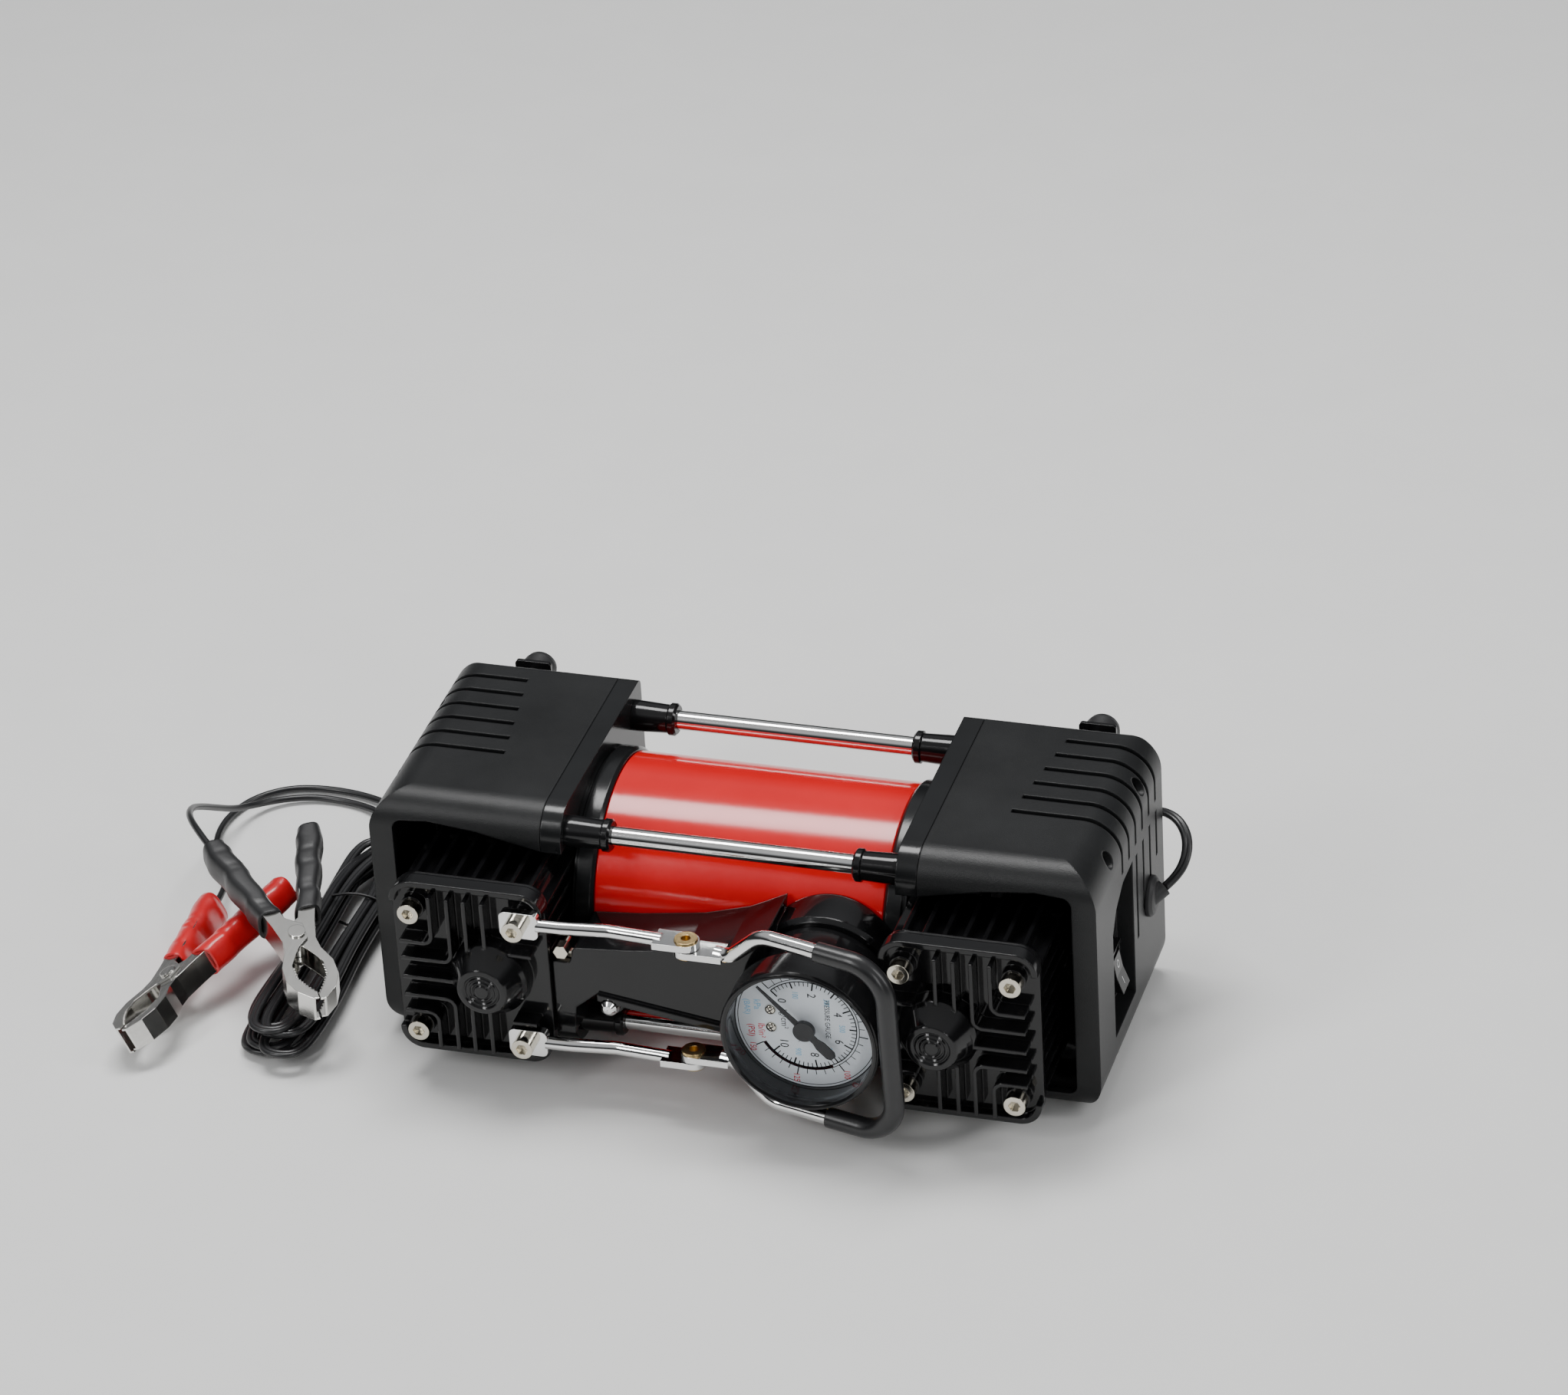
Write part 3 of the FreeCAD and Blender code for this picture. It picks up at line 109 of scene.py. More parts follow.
def surface(name, color, rough, metal=0.0, coat=0.0, mottle=0.15, blotch=25.0, wear=0.08,
            grain=1500.0, bump=0.1, stretch=(1, 1, 1), edge=0.35, spec=0.5, coat_rough=0.05):
    """A surface with mottled colour, uneven roughness, fine grain and softened edges.

    blotch and grain are noise scales, stretch draws the grain out, and edge is the softened
    edge's radius in millimetres.
    """
    material = bpy.data.materials.new(name)
    material.use_nodes = True
    tree = material.node_tree
    shader = tree.nodes["Principled BSDF"]
    shader.inputs["Metallic"].default_value = metal
    shader.inputs["Coat Weight"].default_value = coat
    shader.inputs["Coat Roughness"].default_value = coat_rough
    shader.inputs["Specular IOR Level"].default_value = spec

    def node(kind, **settings):
        made = tree.nodes.new(kind)
        for key, value in settings.items():
            made.inputs[key.replace("_", " ")].default_value = value
        return made

    where = tree.nodes.new("ShaderNodeTexCoord")
    stretched = node("ShaderNodeMapping", Scale=stretch)
    tree.links.new(where.outputs["Object"], stretched.inputs["Vector"])
    broad = node("ShaderNodeTexNoise", Scale=blotch, Detail=5.0, Roughness=0.6)
    tree.links.new(where.outputs["Object"], broad.inputs["Vector"])
    fine = node("ShaderNodeTexNoise", Scale=grain, Detail=3.0, Roughness=0.55)
    tree.links.new(stretched.outputs["Vector"], fine.inputs["Vector"])
    ramp = tree.nodes.new("ShaderNodeValToRGB")
    dark = [channel * (1.0 - mottle) for channel in color]
    light = [min(1.0, channel * (1.0 + mottle) + 0.002) for channel in color]
    ramp.color_ramp.elements[0].position, ramp.color_ramp.elements[1].position = 0.3, 0.7
    ramp.color_ramp.elements[0].color = (*dark, 1.0)
    ramp.color_ramp.elements[1].color = (*light, 1.0)
    tree.links.new(broad.outputs["Fac"], ramp.inputs["Fac"])
    tree.links.new(ramp.outputs["Color"], shader.inputs["Base Color"])
    spread = node("ShaderNodeMapRange")
    spread.inputs["To Min"].default_value = max(0.02, rough - wear)
    spread.inputs["To Max"].default_value = rough + wear
    half = tree.nodes.new("ShaderNodeMath")
    half.operation = "MULTIPLY"
    half.inputs[1].default_value = 0.5
    tree.links.new(broad.outputs["Fac"], half.inputs[0])
    mean = tree.nodes.new("ShaderNodeMath")
    mean.operation = "MULTIPLY_ADD"
    mean.inputs[1].default_value = 0.5
    tree.links.new(fine.outputs["Fac"], mean.inputs[0])
    tree.links.new(half.outputs[0], mean.inputs[2])
    tree.links.new(mean.outputs[0], spread.inputs["Value"])
    tree.links.new(spread.outputs["Result"], shader.inputs["Roughness"])
    relief = node("ShaderNodeBump", Strength=bump, Distance=0.0003)
    tree.links.new(fine.outputs["Fac"], relief.inputs["Height"])
    if edge:
        soft = tree.nodes.new("ShaderNodeBevel")
        soft.samples = 6
        soft.inputs["Radius"].default_value = edge * MM
        tree.links.new(soft.outputs["Normal"], relief.inputs["Normal"])
    tree.links.new(relief.outputs["Normal"], shader.inputs["Normal"])
    return material


def lens_surface():
    """Clear glass: seen through face on, and a mirror at its rim."""
    material = surface("lens_glass", (0.05, 0.06, 0.07), 0.04, mottle=0.01, wear=0.01, bump=0.0,
                       edge=0, spec=1.0)
    tree = material.node_tree
    rim = tree.nodes.new("ShaderNodeLayerWeight")
    rim.inputs["Blend"].default_value = 0.12
    span = tree.nodes.new("ShaderNodeMapRange")
    span.inputs["To Min"].default_value = 0.02
    span.inputs["To Max"].default_value = 0.7
    tree.links.new(rim.outputs["Fresnel"], span.inputs["Value"])
    tree.links.new(span.outputs["Result"], tree.nodes["Principled BSDF"].inputs["Alpha"])
    return material


SATIN = surface("satin_plastic", (0.010, 0.0105, 0.011), 0.36, mottle=0.2, grain=2600, bump=0.3,
                edge=0.8, spec=0.3)
FLANGE = surface("moulded_flange", (0.009, 0.0095, 0.010), 0.17, grain=900, bump=0.04,
                 edge=0.6, spec=0.35)
RED = surface("red_enamel", (0.62, 0.002, 0.006), 0.14, mottle=0.05, grain=500, bump=0.02,
              edge=0.5, spec=0.6)
CHROME = surface("polished_chrome", (0.80, 0.80, 0.79), 0.09, metal=1.0, mottle=0.03, wear=0.05,
                 grain=1200, stretch=(0.02, 1, 1), bump=0.03, edge=0.3)
ENAMEL = surface("black_enamel", (0.004, 0.004, 0.0045), 0.09, mottle=0.3, wear=0.05,
                 grain=160, bump=0.05, edge=0.9, spec=0.42)
ALLOY = surface("cast_alloy", (0.45, 0.45, 0.46), 0.4, metal=1.0, grain=900, bump=0.2)
BRASS = surface("bright_brass", (0.80, 0.58, 0.27), 0.22, metal=1.0, bump=0.05, edge=0.25)
NICKEL = surface("nickel", (0.62, 0.585, 0.50), 0.16, metal=1.0, mottle=0.16, grain=2200,
                 bump=0.08, edge=0.4)
STEEL = surface("zinc_steel", (0.74, 0.73, 0.70), 0.16, metal=1.0, mottle=0.06, grain=900,
                stretch=(1, 0.1, 1), bump=0.04, edge=0.3)
WINDING = surface("lacquered_stack", (0.25, 0.10, 0.05), 0.4, metal=0.6, grain=900, bump=0.2)
MAGNET = surface("magnet", (0.06, 0.06, 0.065), 0.6, grain=900, bump=0.2)
RUBBER = surface("rubber", (0.014, 0.014, 0.015), 0.5, mottle=0.25, grain=1800, bump=0.25,
                 edge=0.6)
GRIP = surface("grip_sleeve", (0.012, 0.012, 0.013), 0.3, mottle=0.2, blotch=60, grain=700,
               bump=0.06, edge=0.5)
GLOSS = surface("gloss_plastic", (0.006, 0.006, 0.0065), 0.12, mottle=0.2, grain=500, bump=0.02,
                edge=0.5, spec=0.4)
DIAL = surface("dial_paint", (0.74, 0.79, 0.84), 0.45, mottle=0.04, grain=3000, bump=0.02,
               edge=0.2)
INK = surface("dial_ink", (0.012, 0.012, 0.014), 0.5, edge=0)
RED_INK = surface("dial_red", (0.62, 0.01, 0.04), 0.5, edge=0)
BLUE_INK = surface("dial_blue", (0.24, 0.55, 0.78), 0.5, edge=0)
VINYL_RED = surface("red_vinyl", (0.66, 0.012, 0.018), 0.3, coat=0.35, coat_rough=0.2,
                    mottle=0.1, blotch=70, grain=400, bump=0.12, edge=1.0)
VINYL_BLACK = surface("black_vinyl", (0.018, 0.018, 0.019), 0.4, mottle=0.2, blotch=70,
                      grain=500, bump=0.12, edge=1.0)
CORD = surface("cord_jacket", (0.012, 0.012, 0.013), 0.33, mottle=0.2, blotch=40, grain=900,
               bump=0.08, edge=0)
MARK = surface("white_mark", (0.75, 0.76, 0.76), 0.5, edge=0)
LENS = lens_surface()

FINISH = {
    "motor_can": RED, "motor_collars": FLANGE, "motor_magnets": MAGNET, "motor_armature": WINDING,
    "motor_shaft": NICKEL, "motor_brushes": WINDING, "shaft_bushes": BRASS, "head_bolts": NICKEL,
    "cover_screws": NICKEL, "tie_rods": CHROME, "rod_sockets": GLOSS, "foot_plates": GLOSS,
    "rubber_feet": RUBBER, "manifold": ENAMEL, "hose_nipple": BRASS, "relief_valve": CHROME,
    "manifold_nut": NICKEL, "gauge_case": GLOSS, "gauge_dial": DIAL, "gauge_needle": INK, "gauge_lens": LENS,
    "upper_handle_arm": CHROME, "lower_handle_arm": CHROME, "handle_eyelets": BRASS, "carry_handle": CHROME,
    "handle_sleeve": GRIP, "switch_housing": GLOSS, "switch_rocker": GLOSS, "cord_relief": RUBBER,
    "red_clamp_base": STEEL, "red_clamp_jaw": STEEL,
    "black_clamp_base": STEEL, "black_clamp_jaw": STEEL,
    "red_base_sleeve": VINYL_RED, "red_jaw_sleeve": VINYL_RED, "black_base_sleeve": VINYL_BLACK,
    "black_jaw_sleeve": VINYL_BLACK, "clamp_rivets": STEEL, "clamp_springs": STEEL,
}
for side in ("left_", "right_"):
    for part, finish in (("crank", ALLOY), ("flange_plate", FLANGE), ("cylinder_block", ENAMEL),
                         ("piston_rod", ALLOY), ("piston_cup", RUBBER), ("valve_plate", ENAMEL),
                         ("head_cover", ENAMEL), ("end_cover", SATIN)):
        FINISH[side + part] = finish


def paint_nodes():
    """Each carried-over CAD node in its finish."""
    for name, finish in FINISH.items():
        mesh = nodes[name].data
        mesh.materials.clear()
        mesh.materials.append(finish)


# ---------------------------------------------------------------- cords

# Sizes of the cords, in metres.
FLEX_WIDTH, LEAD_WIDTH = 0.0042, 0.0028
FLEX_CORE_SHIFT, FLEX_CORE_RADIUS = 0.0009, 0.0012
FLEX_SIDES = 20
# The flex turns to lie flat where its level part is longer than this.
LEVEL_ENOUGH = 0.35


def nurbs_curve(name, points, resolution):
    """A smooth curve through its first and last control points, given in metres."""
    curve = bpy.data.curves.new(name, "CURVE")
    curve.dimensions = "3D"
    curve.resolution_u = resolution
    spline = curve.splines.new("NURBS")
    spline.points.add(len(points) - 1)
    for control, point in zip(spline.points, points):
        control.co = (*point, 1.0)
    spline.order_u = 3
    spline.use_endpoint_u = True
    return curve


def smooth_line(name, points):
    """The points in order along the smooth curve with these control points."""
    curve = nurbs_curve(name, points, 10)
    holder = bpy.data.objects.new(name, curve)
    bpy.context.scene.collection.objects.link(holder)
    bpy.context.view_layer.update()
    mesh = bpy.data.meshes.new_from_object(holder)
    line = [vertex.co.copy() for vertex in mesh.vertices]
    bpy.data.objects.remove(holder)
    bpy.data.meshes.remove(mesh)
    return line


def line_length(line):
    """How long a line of points is."""
    return sum((after - before).length for before, after in zip(line, line[1:]))


def twin_flex(name, line):
    """A flat flex of two round cores side by side, swept along a line.

    It lies flat, except where the line is so steep that it keeps the turn it had before.
    """
    work = bmesh.new()
    rings = []
    flat = Vector((0, 0, 1))
    for index, point in enumerate(line):
        ahead = line[min(index + 1, len(line) - 1)] - line[max(index - 1, 0)]
        ahead.normalize()
        wish = Vector((0, 0, 1)) - ahead * ahead.z
        if wish.length > LEVEL_ENOUGH:
            flat = wish.normalized()
        flat = (flat - ahead * flat.dot(ahead)).normalized()
        across = ahead.cross(flat)
        ring = []
        for step in range(FLEX_SIDES):
            angle = math.tau * step / FLEX_SIDES
            reach = (FLEX_CORE_SHIFT * abs(math.cos(angle))
                     + math.sqrt(FLEX_CORE_RADIUS ** 2 - (FLEX_CORE_SHIFT * math.sin(angle)) ** 2))
            outward = across * math.cos(angle) + flat * math.sin(angle)
            ring.append(work.verts.new(point + outward * reach))
        rings.append(ring)
    join_rings(work, rings)
    work.faces.new(list(reversed(rings[0])))
    work.faces.new(rings[-1])
    return finished_mesh(name, work, smooth=True)


def clamp_lead(colour, route):
    """The single insulated core that ends in one clamp."""
    points = [at(*spot) for spot in route]
    curve = nurbs_curve(colour + "_core", points, 10)
    curve.bevel_depth = LEAD_WIDTH / 2
    curve.bevel_resolution = 5
    curve.use_fill_caps = True
    piece = new_piece(colour + "_core", curve, CORD, "frame")
    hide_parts(colour + "_lead")
    length = line_length(smooth_line("measure", points))


# Control points of the cords, in millimetres from the middle of the motor axis.
FLEX_ROUTE = [(148.54, 32.16, -2.58), (153.04, 36.45, 0.64), (155.2, 43.5, 6.2), (153.4, 50.4, 11.4),
              (147.6, 56.2, 14.8), (138.6, 61.2, 13.6), (127, 66.2, 6.8), (112.4, 71.4, -4.2),
              (95.4, 77, -17.6), (76, 81.8, -31), (54, 85.6, -42.6), (29, 87.2, -50), (0, 88.4, -51.5),
              (-31, 91.4, -51.4), (-63, 93, -51.5), (-95, 91.6, -51.4), (-125, 93.8, -51.5),
              (-151, 97.4, -51.2), (-169.6, 94, -50), (-177.5, 83, -48.6), (-177.5, 66, -49.5)]
RED_ROUTE = [(-184, 70.6, -49.4), (-184, 82.4, -49.4), (-189.4, 92.6, -50.8), (-199, 99.8, -51.8),
             (-212, 104, -52.2), (-227.6, 105, -52.2), (-242, 101.5, -52), (-254, 91, -52.2),
             (-259, 75, -52), (-257.5, 58, -51.6), (-250, 42, -50.6), (-240, 27, -47.5),
             (-236.67, 13.34, -45.3), (-235.86, 1.6, -44.64)]
BLACK_ROUTE = [(-190, 70.6, -49.6), (-190, 80, -49.6), (-195.2, 89, -51), (-204.4, 94.8, -52),
               (-216.4, 97.6, -52.2), (-229, 97.2, -51.8), (-241, 92.2, -51.4), (-249.4, 83, -49.4),
               (-252.8, 70.6, -44), (-254.4, 57.5, -35.4), (-255, 43.6, -26), (-253.4, 29, -17),
               (-248, 13.5, -10.7), (-236.42, -2.24, -8.26), (-227.9, -10.1, -10.28)]


HANK_FOLDS = 8
HANK_LOWEST, HANK_LAYER, HANK_LIFT = -51.0, 1.55, 0.8
HANK_LEFT, HANK_LANE, HANK_WIDE = -193.2, 0.95, 18.5
HANK_FRONT, HANK_BACK, FOLD_DEEP = -90.5, 66.5, 9
HANK_TIED, HANK_MIDDLE, HANK_FANNED = 30, -12, -50
HANK_WAIST = 1.2


def hank_points():
    """Folds laid on each other, narrower in the middle and fanned out at the front.

    Each fold runs forward on one side, round its tip, and back on the other side.
    """
    points = []
    for fold in range(HANK_FOLDS):
        low = HANK_LOWEST + HANK_LAYER * fold
        high = low + HANK_LIFT
        lane = (fold * 5) % HANK_FOLDS
        out = HANK_LEFT + HANK_LANE * lane
        home = out + HANK_WIDE + random.uniform(-1.0, 1.0)
        fan = (lane - 3.5) * 0.5
        tip = HANK_FRONT + random.uniform(0.0, 14.0)
        back = HANK_BACK - random.uniform(0.0, 10.0)
        if fold % 2:
            out, home = home, out
        waist = HANK_WAIST * (1 if out < home else -1)
        points += [(out, HANK_TIED, low), (out + waist, HANK_MIDDLE, low), (out + fan, HANK_FANNED, low),
                   (out + fan, tip + FOLD_DEEP, high), ((out * 0.8 + home * 0.2) + fan, tip, high),
                   ((out * 0.2 + home * 0.8) + fan, tip, high), (home + fan, tip + FOLD_DEEP, high),
                   (home + fan, HANK_FANNED, high), (home - waist, HANK_MIDDLE, high),
                   (home, HANK_TIED, high)]
        if fold < HANK_FOLDS - 1:
            points += [(home, back - FOLD_DEEP, low + 1.2), (home * 0.8 + out * 0.2, back, low + 1.4),
                       (home * 0.2 + out * 0.8, back, low + 1.5)]
        else:
            points += [(-186.5, 55, low - 5.0), (-187, 68, low - 9.0)]
    return points


def power_cord():
    """The twin flex from the grommet round the back of the compressor, and its hank."""
    route = [at(*spot) for spot in FLEX_ROUTE + hank_points()]
    line = smooth_line("flex_line", route)
    piece = new_piece("flex", twin_flex("flex", line), CORD, "frame")
    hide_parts("power_cord", "cord_hank")


TIE_MIDDLE = Vector((-180, 11.2, -45.1))
TIE_HALF_WIDE, TIE_HALF_HIGH = 15.6, 8.0
TIE_RADIUS = 0.0006


def tie_wire():
    """A thin wire wound once round the bundle. Its ends meet on top."""
    steps = 28
    points = []
    for step in range(steps + 1):
        angle = math.tau * step / steps + math.radians(80)
        wide = TIE_HALF_WIDE * math.cos(angle) * (1 - 0.12 * abs(math.sin(angle)) ** 3)
        sway = 1.0 * math.sin(angle * 2)
        points.append(at(*(TIE_MIDDLE + Vector((wide, sway, TIE_HALF_HIGH * math.sin(angle))))))
    curve = nurbs_curve("tie", points, 12)
    curve.bevel_depth = TIE_RADIUS
    curve.bevel_resolution = 3
    piece = new_piece("tie", curve, CORD, "frame")
    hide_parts("cord_tie")


# ---------------------------------------------------------------- battery clamps

# Each clamp's pivot in millimetres from the middle of the motor axis, its heading, pitch and roll.
CLAMP_LAY = {"red": ((-228.1, -60.9, -39.4), 81.2, -3.0, 26.0),
             "black": ((-179.5, -49.4, -20.7), 123.0, -10.0, 0.0)}
BASE_HALF, JAW_HALF = 5.95, 5.0
SLEEVE_SIDES, SLEEVE_SKIN = 40, 1.2
SLEEVE_START, SLEEVE_END = 13, 60
SLEEVE_MIDDLE = [(13, 7.4), (24, 10.4), (40, 14.2), (55, 18.15), (60, 19.15)]
SLEEVE_WIDTH = [(13, 5.2), (24, 4.9), (40, 5.3), (55, 5.5), (60, 4.7)]
# Where the wall of a sleeve goes, as (place along the handle, how far inside the outer face).
SLEEVE_WALL = ([(18, 1.5), (13.4, 1.3), (SLEEVE_START, 0.7)]
               + [(SLEEVE_START + 0.5 * step, 0.0) for step in range(2 * (SLEEVE_END - SLEEVE_START) + 1)]
               + [(SLEEVE_END, 0.7), (59.6, 1.3), (54, 1.5)])
TOOTH_PITCH, TOOTH_HIGH, TOOTH_THICK = 1.5, 0.9, 0.8
TOOTHED_EDGE = [Vector((-35.6, 0.5)), Vector((-30, 3.9)), Vector((-25, 6.3)), Vector((-19, 6.3))]


def clamp_spot(colour, along, wide, up):
    """A place in a clamp's own frame: handles along +X, pivot at the origin along Z."""
    origin, heading, pitch, roll = CLAMP_LAY[colour]
    turn = (Matrix.Rotation(math.radians(heading), 3, "Z") @ Matrix.Rotation(math.radians(pitch), 3, "Y")
            @ Matrix.Rotation(math.radians(-roll), 3, "X"))
    return at(*(Vector(origin) + turn @ Vector((along, wide, up))))


def blend_value(table, where):
    """A smooth value between the (place, value) pairs of a table."""
    for (start, low), (end, high) in zip(table, table[1:]):
        if where <= end:
            part = max(0.0, (where - start) / (end - start))
            return low + (high - low) * part * part * (3 - 2 * part)
    return table[-1][1]


def sleeve(colour, side, half, node, body, material):
    """A soft vinyl sleeve over a clamp's handle: an open oval tube, creased where it is squeezed."""
    creases = [(random.uniform(18, 55), random.uniform(-0.8, 0.8), random.uniform(0.2, 0.4))
               for _ in range(5)]
    power = 2 / 3.0
    work = bmesh.new()
    rings = []
    for along, inset in SLEEVE_WALL:
        ring = []
        for step in range(SLEEVE_SIDES):
            angle = math.tau * step / SLEEVE_SIDES
            x, y = math.cos(angle), math.sin(angle)
            wide = (blend_value(SLEEVE_WIDTH, along) - inset) * math.copysign(abs(x) ** power, x)
            high = (half + SLEEVE_SKIN - inset) * math.copysign(abs(y) ** power, y)
            dent = sum(deep * math.exp(-((along - place - slope * high) / 1.5) ** 2)
                       for place, slope, deep in creases) * (1 if y > -0.2 else 0.3)
            across = side * (blend_value(SLEEVE_MIDDLE, along) + wide * (1 - dent * 0.06))
            ring.append(work.verts.new(clamp_spot(colour, along, across, high * (1 - dent * 0.09))))
        rings.append(ring)
    join_rings(work, rings)
    bmesh.ops.recalc_face_normals(work, faces=work.faces[:])
    mesh = finished_mesh(node + "_soft", work, smooth=True)
    piece = new_piece(node + "_soft", mesh, material, body)
    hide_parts(node)


def clamp_teeth(colour, side, half, body):
    """Small teeth along the inner edges of a jaw's two side plates."""
    work = bmesh.new()
    for one, other in zip(TOOTHED_EDGE, TOOTHED_EDGE[1:]):
        count = max(1, round((other - one).length / TOOTH_PITCH))
        along = (other - one) / count
        inward = Vector((along.y, -along.x)).normalized()
        for tooth in range(count):
            base = one + along * tooth
            corners = (base, base + along, base + along / 2 + inward * TOOTH_HIGH)
            for level in (-half, half - TOOTH_THICK):
                low, high = [[work.verts.new(clamp_spot(colour, corner.x, side * corner.y, up))
                              for corner in corners] for up in (level, level + TOOTH_THICK)]
                work.faces.new(low)
                work.faces.new(high)
                for a, b in ((0, 1), (1, 2), (2, 0)):
                    work.faces.new((low[a], low[b], high[b], high[a]))
    bmesh.ops.recalc_face_normals(work, faces=work.faces[:])
    name = "%s_teeth_%d" % (colour, side + 1)
    new_piece(name, finished_mesh(name, work), STEEL, body)


def dress_clamps():
    """Sleeves and teeth on the fixed half and on the moving half of each clamp."""
    for colour, material, slot in (("red", VINYL_RED, "red_vinyl"), ("black", VINYL_BLACK, "cord_black")):
        sleeve(colour, 1, BASE_HALF, colour + "_base_sleeve", "frame", material)
        sleeve(colour, -1, JAW_HALF, colour + "_jaw_sleeve", colour + "_jaw", material)
        clamp_teeth(colour, 1, BASE_HALF, "frame")
        clamp_teeth(colour, -1, JAW_HALF, colour + "_jaw")


# ---------------------------------------------------------------- gauge dial

DIAL_X, DIAL_Z, DIAL_FRONT = 38.3, -5.1, -82.6
PRINT_LIFT, PRINT_THICK = 0.06, 0.00003
INNER_SCALE, OUTER_SCALE, SCALE_END = 19.3, 20.4, 10.55
NUMBER_RADIUS, OUTER_NUMBER_RADIUS = 13.6, 25.4
PSI_PER_UNIT = 14.2233


def dial_spot(right, up, lift=PRINT_LIFT):
    """A place on the dial: its own up points along +X and its own right points down."""
    return at(DIAL_X + up, DIAL_FRONT - lift, DIAL_Z - right)


def dial_angle(value):
    """The angle, clockwise from the dial's own up, of a reading from 0 to 10."""
    return math.radians(-135.0 + 27.0 * value)


def dial_marks(name, marks, material):
    """Flat bars on the dial: each is (angle, inner radius, outer radius, width)."""
    work = bmesh.new()
    for angle, inner, outer, width in marks:
        along = (math.sin(angle), math.cos(angle))
        side = (math.cos(angle), -math.sin(angle))
        corners = []
        for reach, shift in ((inner, -1), (outer, -1), (outer, 1), (inner, 1)):
            corners.append(work.verts.new(dial_spot(along[0] * reach + side[0] * shift * width / 2,
                                                    along[1] * reach + side[1] * shift * width / 2)))
        work.faces.new(corners)
    bmesh.ops.solidify(work, geom=work.faces[:], thickness=PRINT_THICK)
    new_piece(name, finished_mesh(name, work), material, "frame")


def dial_arc(name, radius, width, start, end, material, lift=PRINT_LIFT):
    """A flat band on the dial between two angles, such as a ring of a scale."""
    work = bmesh.new()
    steps = max(8, int(abs(end - start) / math.radians(3)))
    previous = None
    for step in range(steps + 1):
        angle = start + (end - start) * step / steps
        pair = [work.verts.new(dial_spot(math.sin(angle) * reach, math.cos(angle) * reach, lift))
                for reach in (radius - width / 2, radius + width / 2)]
        if previous:
            work.faces.new((previous[0], previous[1], pair[1], pair[0]))
        previous = pair
    bmesh.ops.solidify(work, geom=work.faces[:], thickness=PRINT_THICK)
    new_piece(name, finished_mesh(name, work), material, "frame")


def dial_text(name, text, right, up, size, material, squeeze=0.85):
    """Printing on the dial, as thin letters made narrower by squeeze."""
    curve = bpy.data.curves.new(name, "FONT")
    curve.body = text
    curve.size = size * MM
    curve.align_x, curve.align_y = "CENTER", "CENTER"
    curve.extrude = 0.00002
    curve.resolution_u = 4
    holder = bpy.data.objects.new(name + "_text", curve)
    bpy.context.scene.collection.objects.link(holder)
    bpy.context.view_layer.update()
    mesh = bpy.data.meshes.new_from_object(holder)
    bpy.data.objects.remove(holder)
    axes = Matrix((Vector((0, 0, -1)) * squeeze, Vector((1, 0, 0)), Vector((0, -1, 0))))
    mesh.transform(Matrix.Translation(dial_spot(right, up)) @ axes.transposed().to_4x4())
    new_piece(name, mesh, material, "frame")


def dial_number(name, text, angle, radius, size, material, squeeze=0.85):
    """A number of a scale, upright at its angle and radius."""
    dial_text(name, text, math.sin(angle) * radius, math.cos(angle) * radius, size, material, squeeze)


def gauge_face():
    """The scales, numbers, units and screws of the dial."""
    inner = []
    for tick in range(51):
        numbered, major = tick % 10 == 0, tick % 5 == 0
        length = 3.4 if numbered else 2.8 if major else 1.9
        inner.append((dial_angle(tick / 5), INNER_SCALE - length, INNER_SCALE, 0.6 if major else 0.34))
    dial_marks("inner_ticks", inner, INK)
    outer = []
    for tick in range(31):
        major = tick % 5 == 0
        angle = dial_angle(tick * 5 / PSI_PER_UNIT)
        outer.append((angle, OUTER_SCALE, 23.9 if major else 22.6, 0.45 if major else 0.3))
    dial_marks("outer_ticks", outer, INK)
    dial_arc("ring_inner", 19.35, 0.4, dial_angle(0), dial_angle(SCALE_END), INK)
    dial_arc("ring_outer", OUTER_SCALE, 0.3, dial_angle(0), dial_angle(SCALE_END), INK)
    dial_arc("ring_rim", 27.2, 0.3, 0, math.tau, INK)
    dial_arc("red_zone", 19.9, 1.15, dial_angle(7.3), dial_angle(SCALE_END), RED_INK, 0.1)
    for value in range(0, 11, 2):
        dial_number("number_%d" % value, str(value), dial_angle(value), NUMBER_RADIUS, 4.8,
                    INK)
    for value in range(1, 10, 2):
        dial_number("hundred_%d" % value, "%d00" % value, dial_angle(value), NUMBER_RADIUS, 3.3,
                    BLUE_INK, 0.7)
    for value in (100, 125, 150):
        dial_number("outer_%d" % value, str(value), dial_angle(value / PSI_PER_UNIT), OUTER_NUMBER_RADIUS,
                    3.5, RED_INK, 0.8)
    dial_text("unit_metric", "kg/cm²", -1.4, -9.0, 3.9, INK)
    dial_text("unit_inch", "lb/in²", 5.2, -18.2, 3.9, RED_INK)
    dial_text("unit_psi", "(PSI)", 5.6, -22.2, 3.7, RED_INK)
    dial_text("unit_kpa", "kPa", -6.6, -19.4, 3.9, BLUE_INK)
    dial_text("unit_bar", "(BAR)", -5.0, -23.4, 3.4, BLUE_INK)
    dial_text("legend", "PRESSURE GAUGE", -3.6, 8.0, 2.9, INK, 0.75)
    for index, right in enumerate((-5.0, 2.9)):
        dial_screw("dial_screw_%d" % index, right, -14.2)


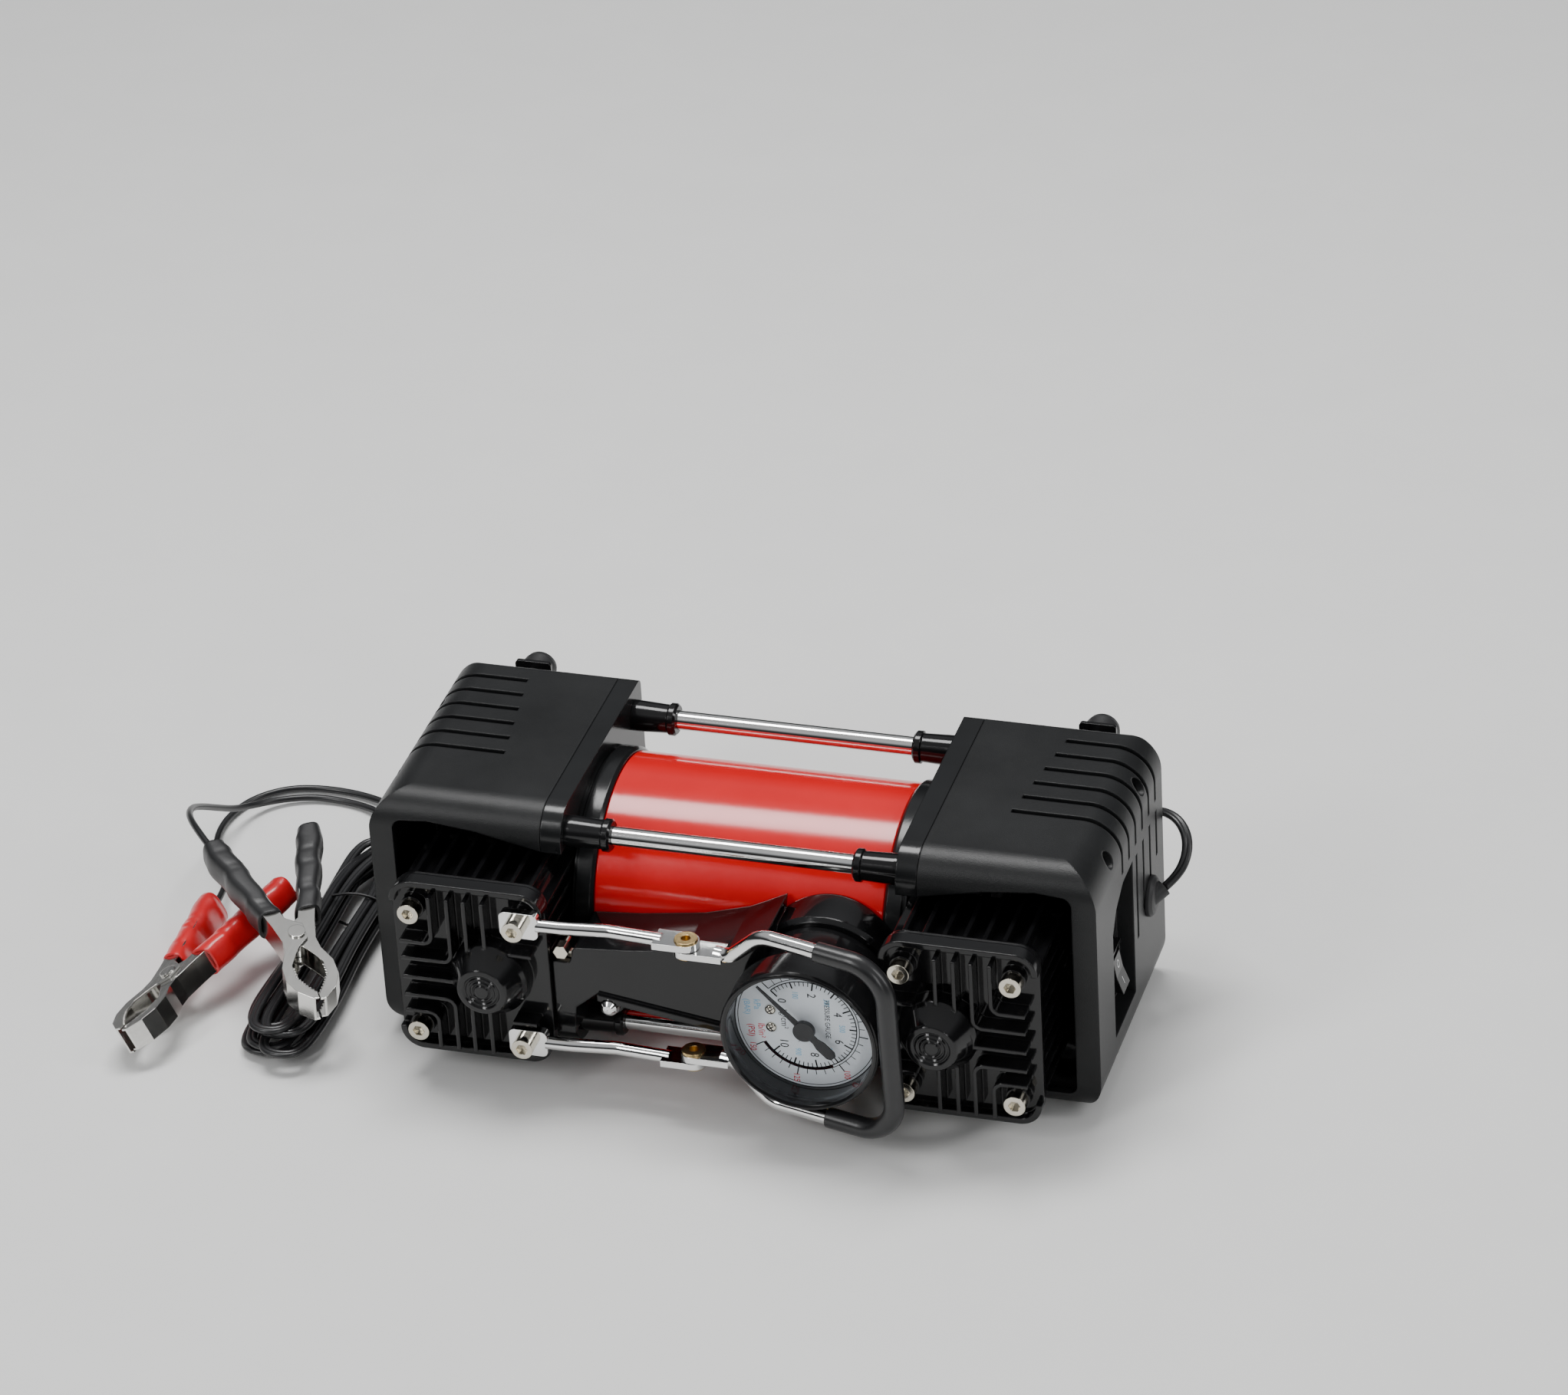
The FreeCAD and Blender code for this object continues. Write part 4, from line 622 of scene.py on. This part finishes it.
def dial_screw(name, right, up):
    """A small domed screw with a cross slot."""
    work = bmesh.new()
    angles = [math.tau * step / 24 for step in range(24)]
    rings = []
    for radius, lift in ((2.1, 0.0), (2.1, 0.5), (1.7, 0.9), (0.9, 1.1), (0.3, 1.12)):
        rings.append([work.verts.new(dial_spot(right + math.cos(angle) * radius,
                                               up + math.sin(angle) * radius, lift))
                      for angle in angles])
    join_rings(work, rings)
    work.faces.new(rings[-1])
    bmesh.ops.recalc_face_normals(work, faces=work.faces[:])
    new_piece(name, finished_mesh(name, work, smooth=True), NICKEL, "frame")
    work = bmesh.new()
    for long, wide in ((1.35, 0.22), (0.22, 1.35)):
        corners = [(-long, -wide), (long, -wide), (long, wide), (-long, wide)]
        turned = [(a * 0.83 - b * 0.56, a * 0.56 + b * 0.83) for a, b in corners]
        work.faces.new([work.verts.new(dial_spot(right + a, up + b, 1.16)) for a, b in turned])
    new_piece(name + "_slot", finished_mesh(name + "_slot", work), INK, "frame")


# ---------------------------------------------------------------- rocker marks

def rocker_marks():
    """A ring on the pressed upper facet and a bar on the lower one."""
    across = Vector((0, 1, 0))
    for name, centre, run, shape in (("mark_off", (140.15, -9.0, -11.9), (1.3, -7.2), "ring"),
                                     ("mark_on", (142.05, -9.0, -19.0), (2.5, -7.0), "bar")):
        down = Vector((run[0], 0, run[1])).normalized()
        out = Vector((-down.z, 0, down.x))
        middle = Vector(centre) + out * 0.05
        work = bmesh.new()
        if shape == "ring":
            angles = [math.tau * step / 32 for step in range(32)]
            join_rings(work, [[work.verts.new(at(*(middle + across * math.cos(angle) * reach
                                                   + down * math.sin(angle) * reach * 1.25)))
                               for angle in angles] for reach in (1.0, 1.35)])
        else:
            work.faces.new([work.verts.new(at(*(middle + across * wide + down * long)))
                            for wide, long in ((-0.2, -1.6), (0.2, -1.6), (0.2, 1.6), (-0.2, 1.6))])
        new_piece(name, finished_mesh(name, work), MARK, "rocker")


# ---------------------------------------------------------------- stage

def stage():
    """A pale floor, a sky that is dark below and bright above, and four soft boxes."""
    bpy.ops.mesh.primitive_plane_add(size=12.0, location=(0, 0, -0.0004))
    floor = bpy.context.object
    floor.name = "floor"
    floor.data.materials.append(surface("pale_floor", (0.80, 0.80, 0.79), 0.6, mottle=0.01,
                                        bump=0.02, edge=0))
    world = bpy.data.worlds.new("studio")
    bpy.context.scene.world = world
    world.use_nodes = True
    tree = world.node_tree
    around = tree.nodes.new("ShaderNodeTexCoord")
    split = tree.nodes.new("ShaderNodeSeparateXYZ")
    shades = tree.nodes.new("ShaderNodeValToRGB")
    shades.color_ramp.elements[0].color = (0.30, 0.31, 0.33, 1.0)
    shades.color_ramp.elements[1].color = (1.0, 1.0, 1.0, 1.0)
    for place, level in ((0.06, 0.05), (0.34, 0.07), (0.5, 0.45), (0.62, 0.9)):
        shades.color_ramp.elements.new(place).color = (level, level * 1.02, level * 1.05, 1.0)
    tree.links.new(around.outputs["Generated"], split.inputs[0])
    tree.links.new(split.outputs["Z"], shades.inputs["Fac"])
    tree.links.new(shades.outputs["Color"], tree.nodes["Background"].inputs["Color"])
    tree.nodes["Background"].inputs["Strength"].default_value = 0.5
    soft_box("overhead", (-0.25, 0.35, 1.6), (0, 0, 0.03), 1.0, 0.45, 24.0)
    soft_box("front_left", (-1.0, -1.5, 1.3), (-0.05, 0, 0.05), 0.35, 0.9, 14.0)
    soft_box("front_right", (0.9, -1.3, 0.75), (0.05, 0, 0.05), 0.12, 0.7, 4.0)
    soft_box("right_strip", (1.3, 0.1, 0.9), (0.05, 0, 0.05), 0.2, 1.1, 6.0)


def soft_box(name, place, target, width, height, power):
    """A rectangular lamp at a place, facing a target."""
    data = bpy.data.lights.new(name, "AREA")
    data.shape = "RECTANGLE"
    data.size, data.size_y, data.energy = width, height, power
    lamp = bpy.data.objects.new(name, data)
    bpy.context.scene.collection.objects.link(lamp)
    lamp.location = place
    lamp.rotation_mode = "QUATERNION"
    lamp.rotation_quaternion = (Vector(target) - Vector(place)).to_track_quat("-Z", "Y")


aim_camera()
power_cord()
clamp_lead("red", RED_ROUTE)
clamp_lead("black", BLACK_ROUTE)
tie_wire()
paint_nodes()
dress_clamps()
gauge_face()
rocker_marks()
stage()
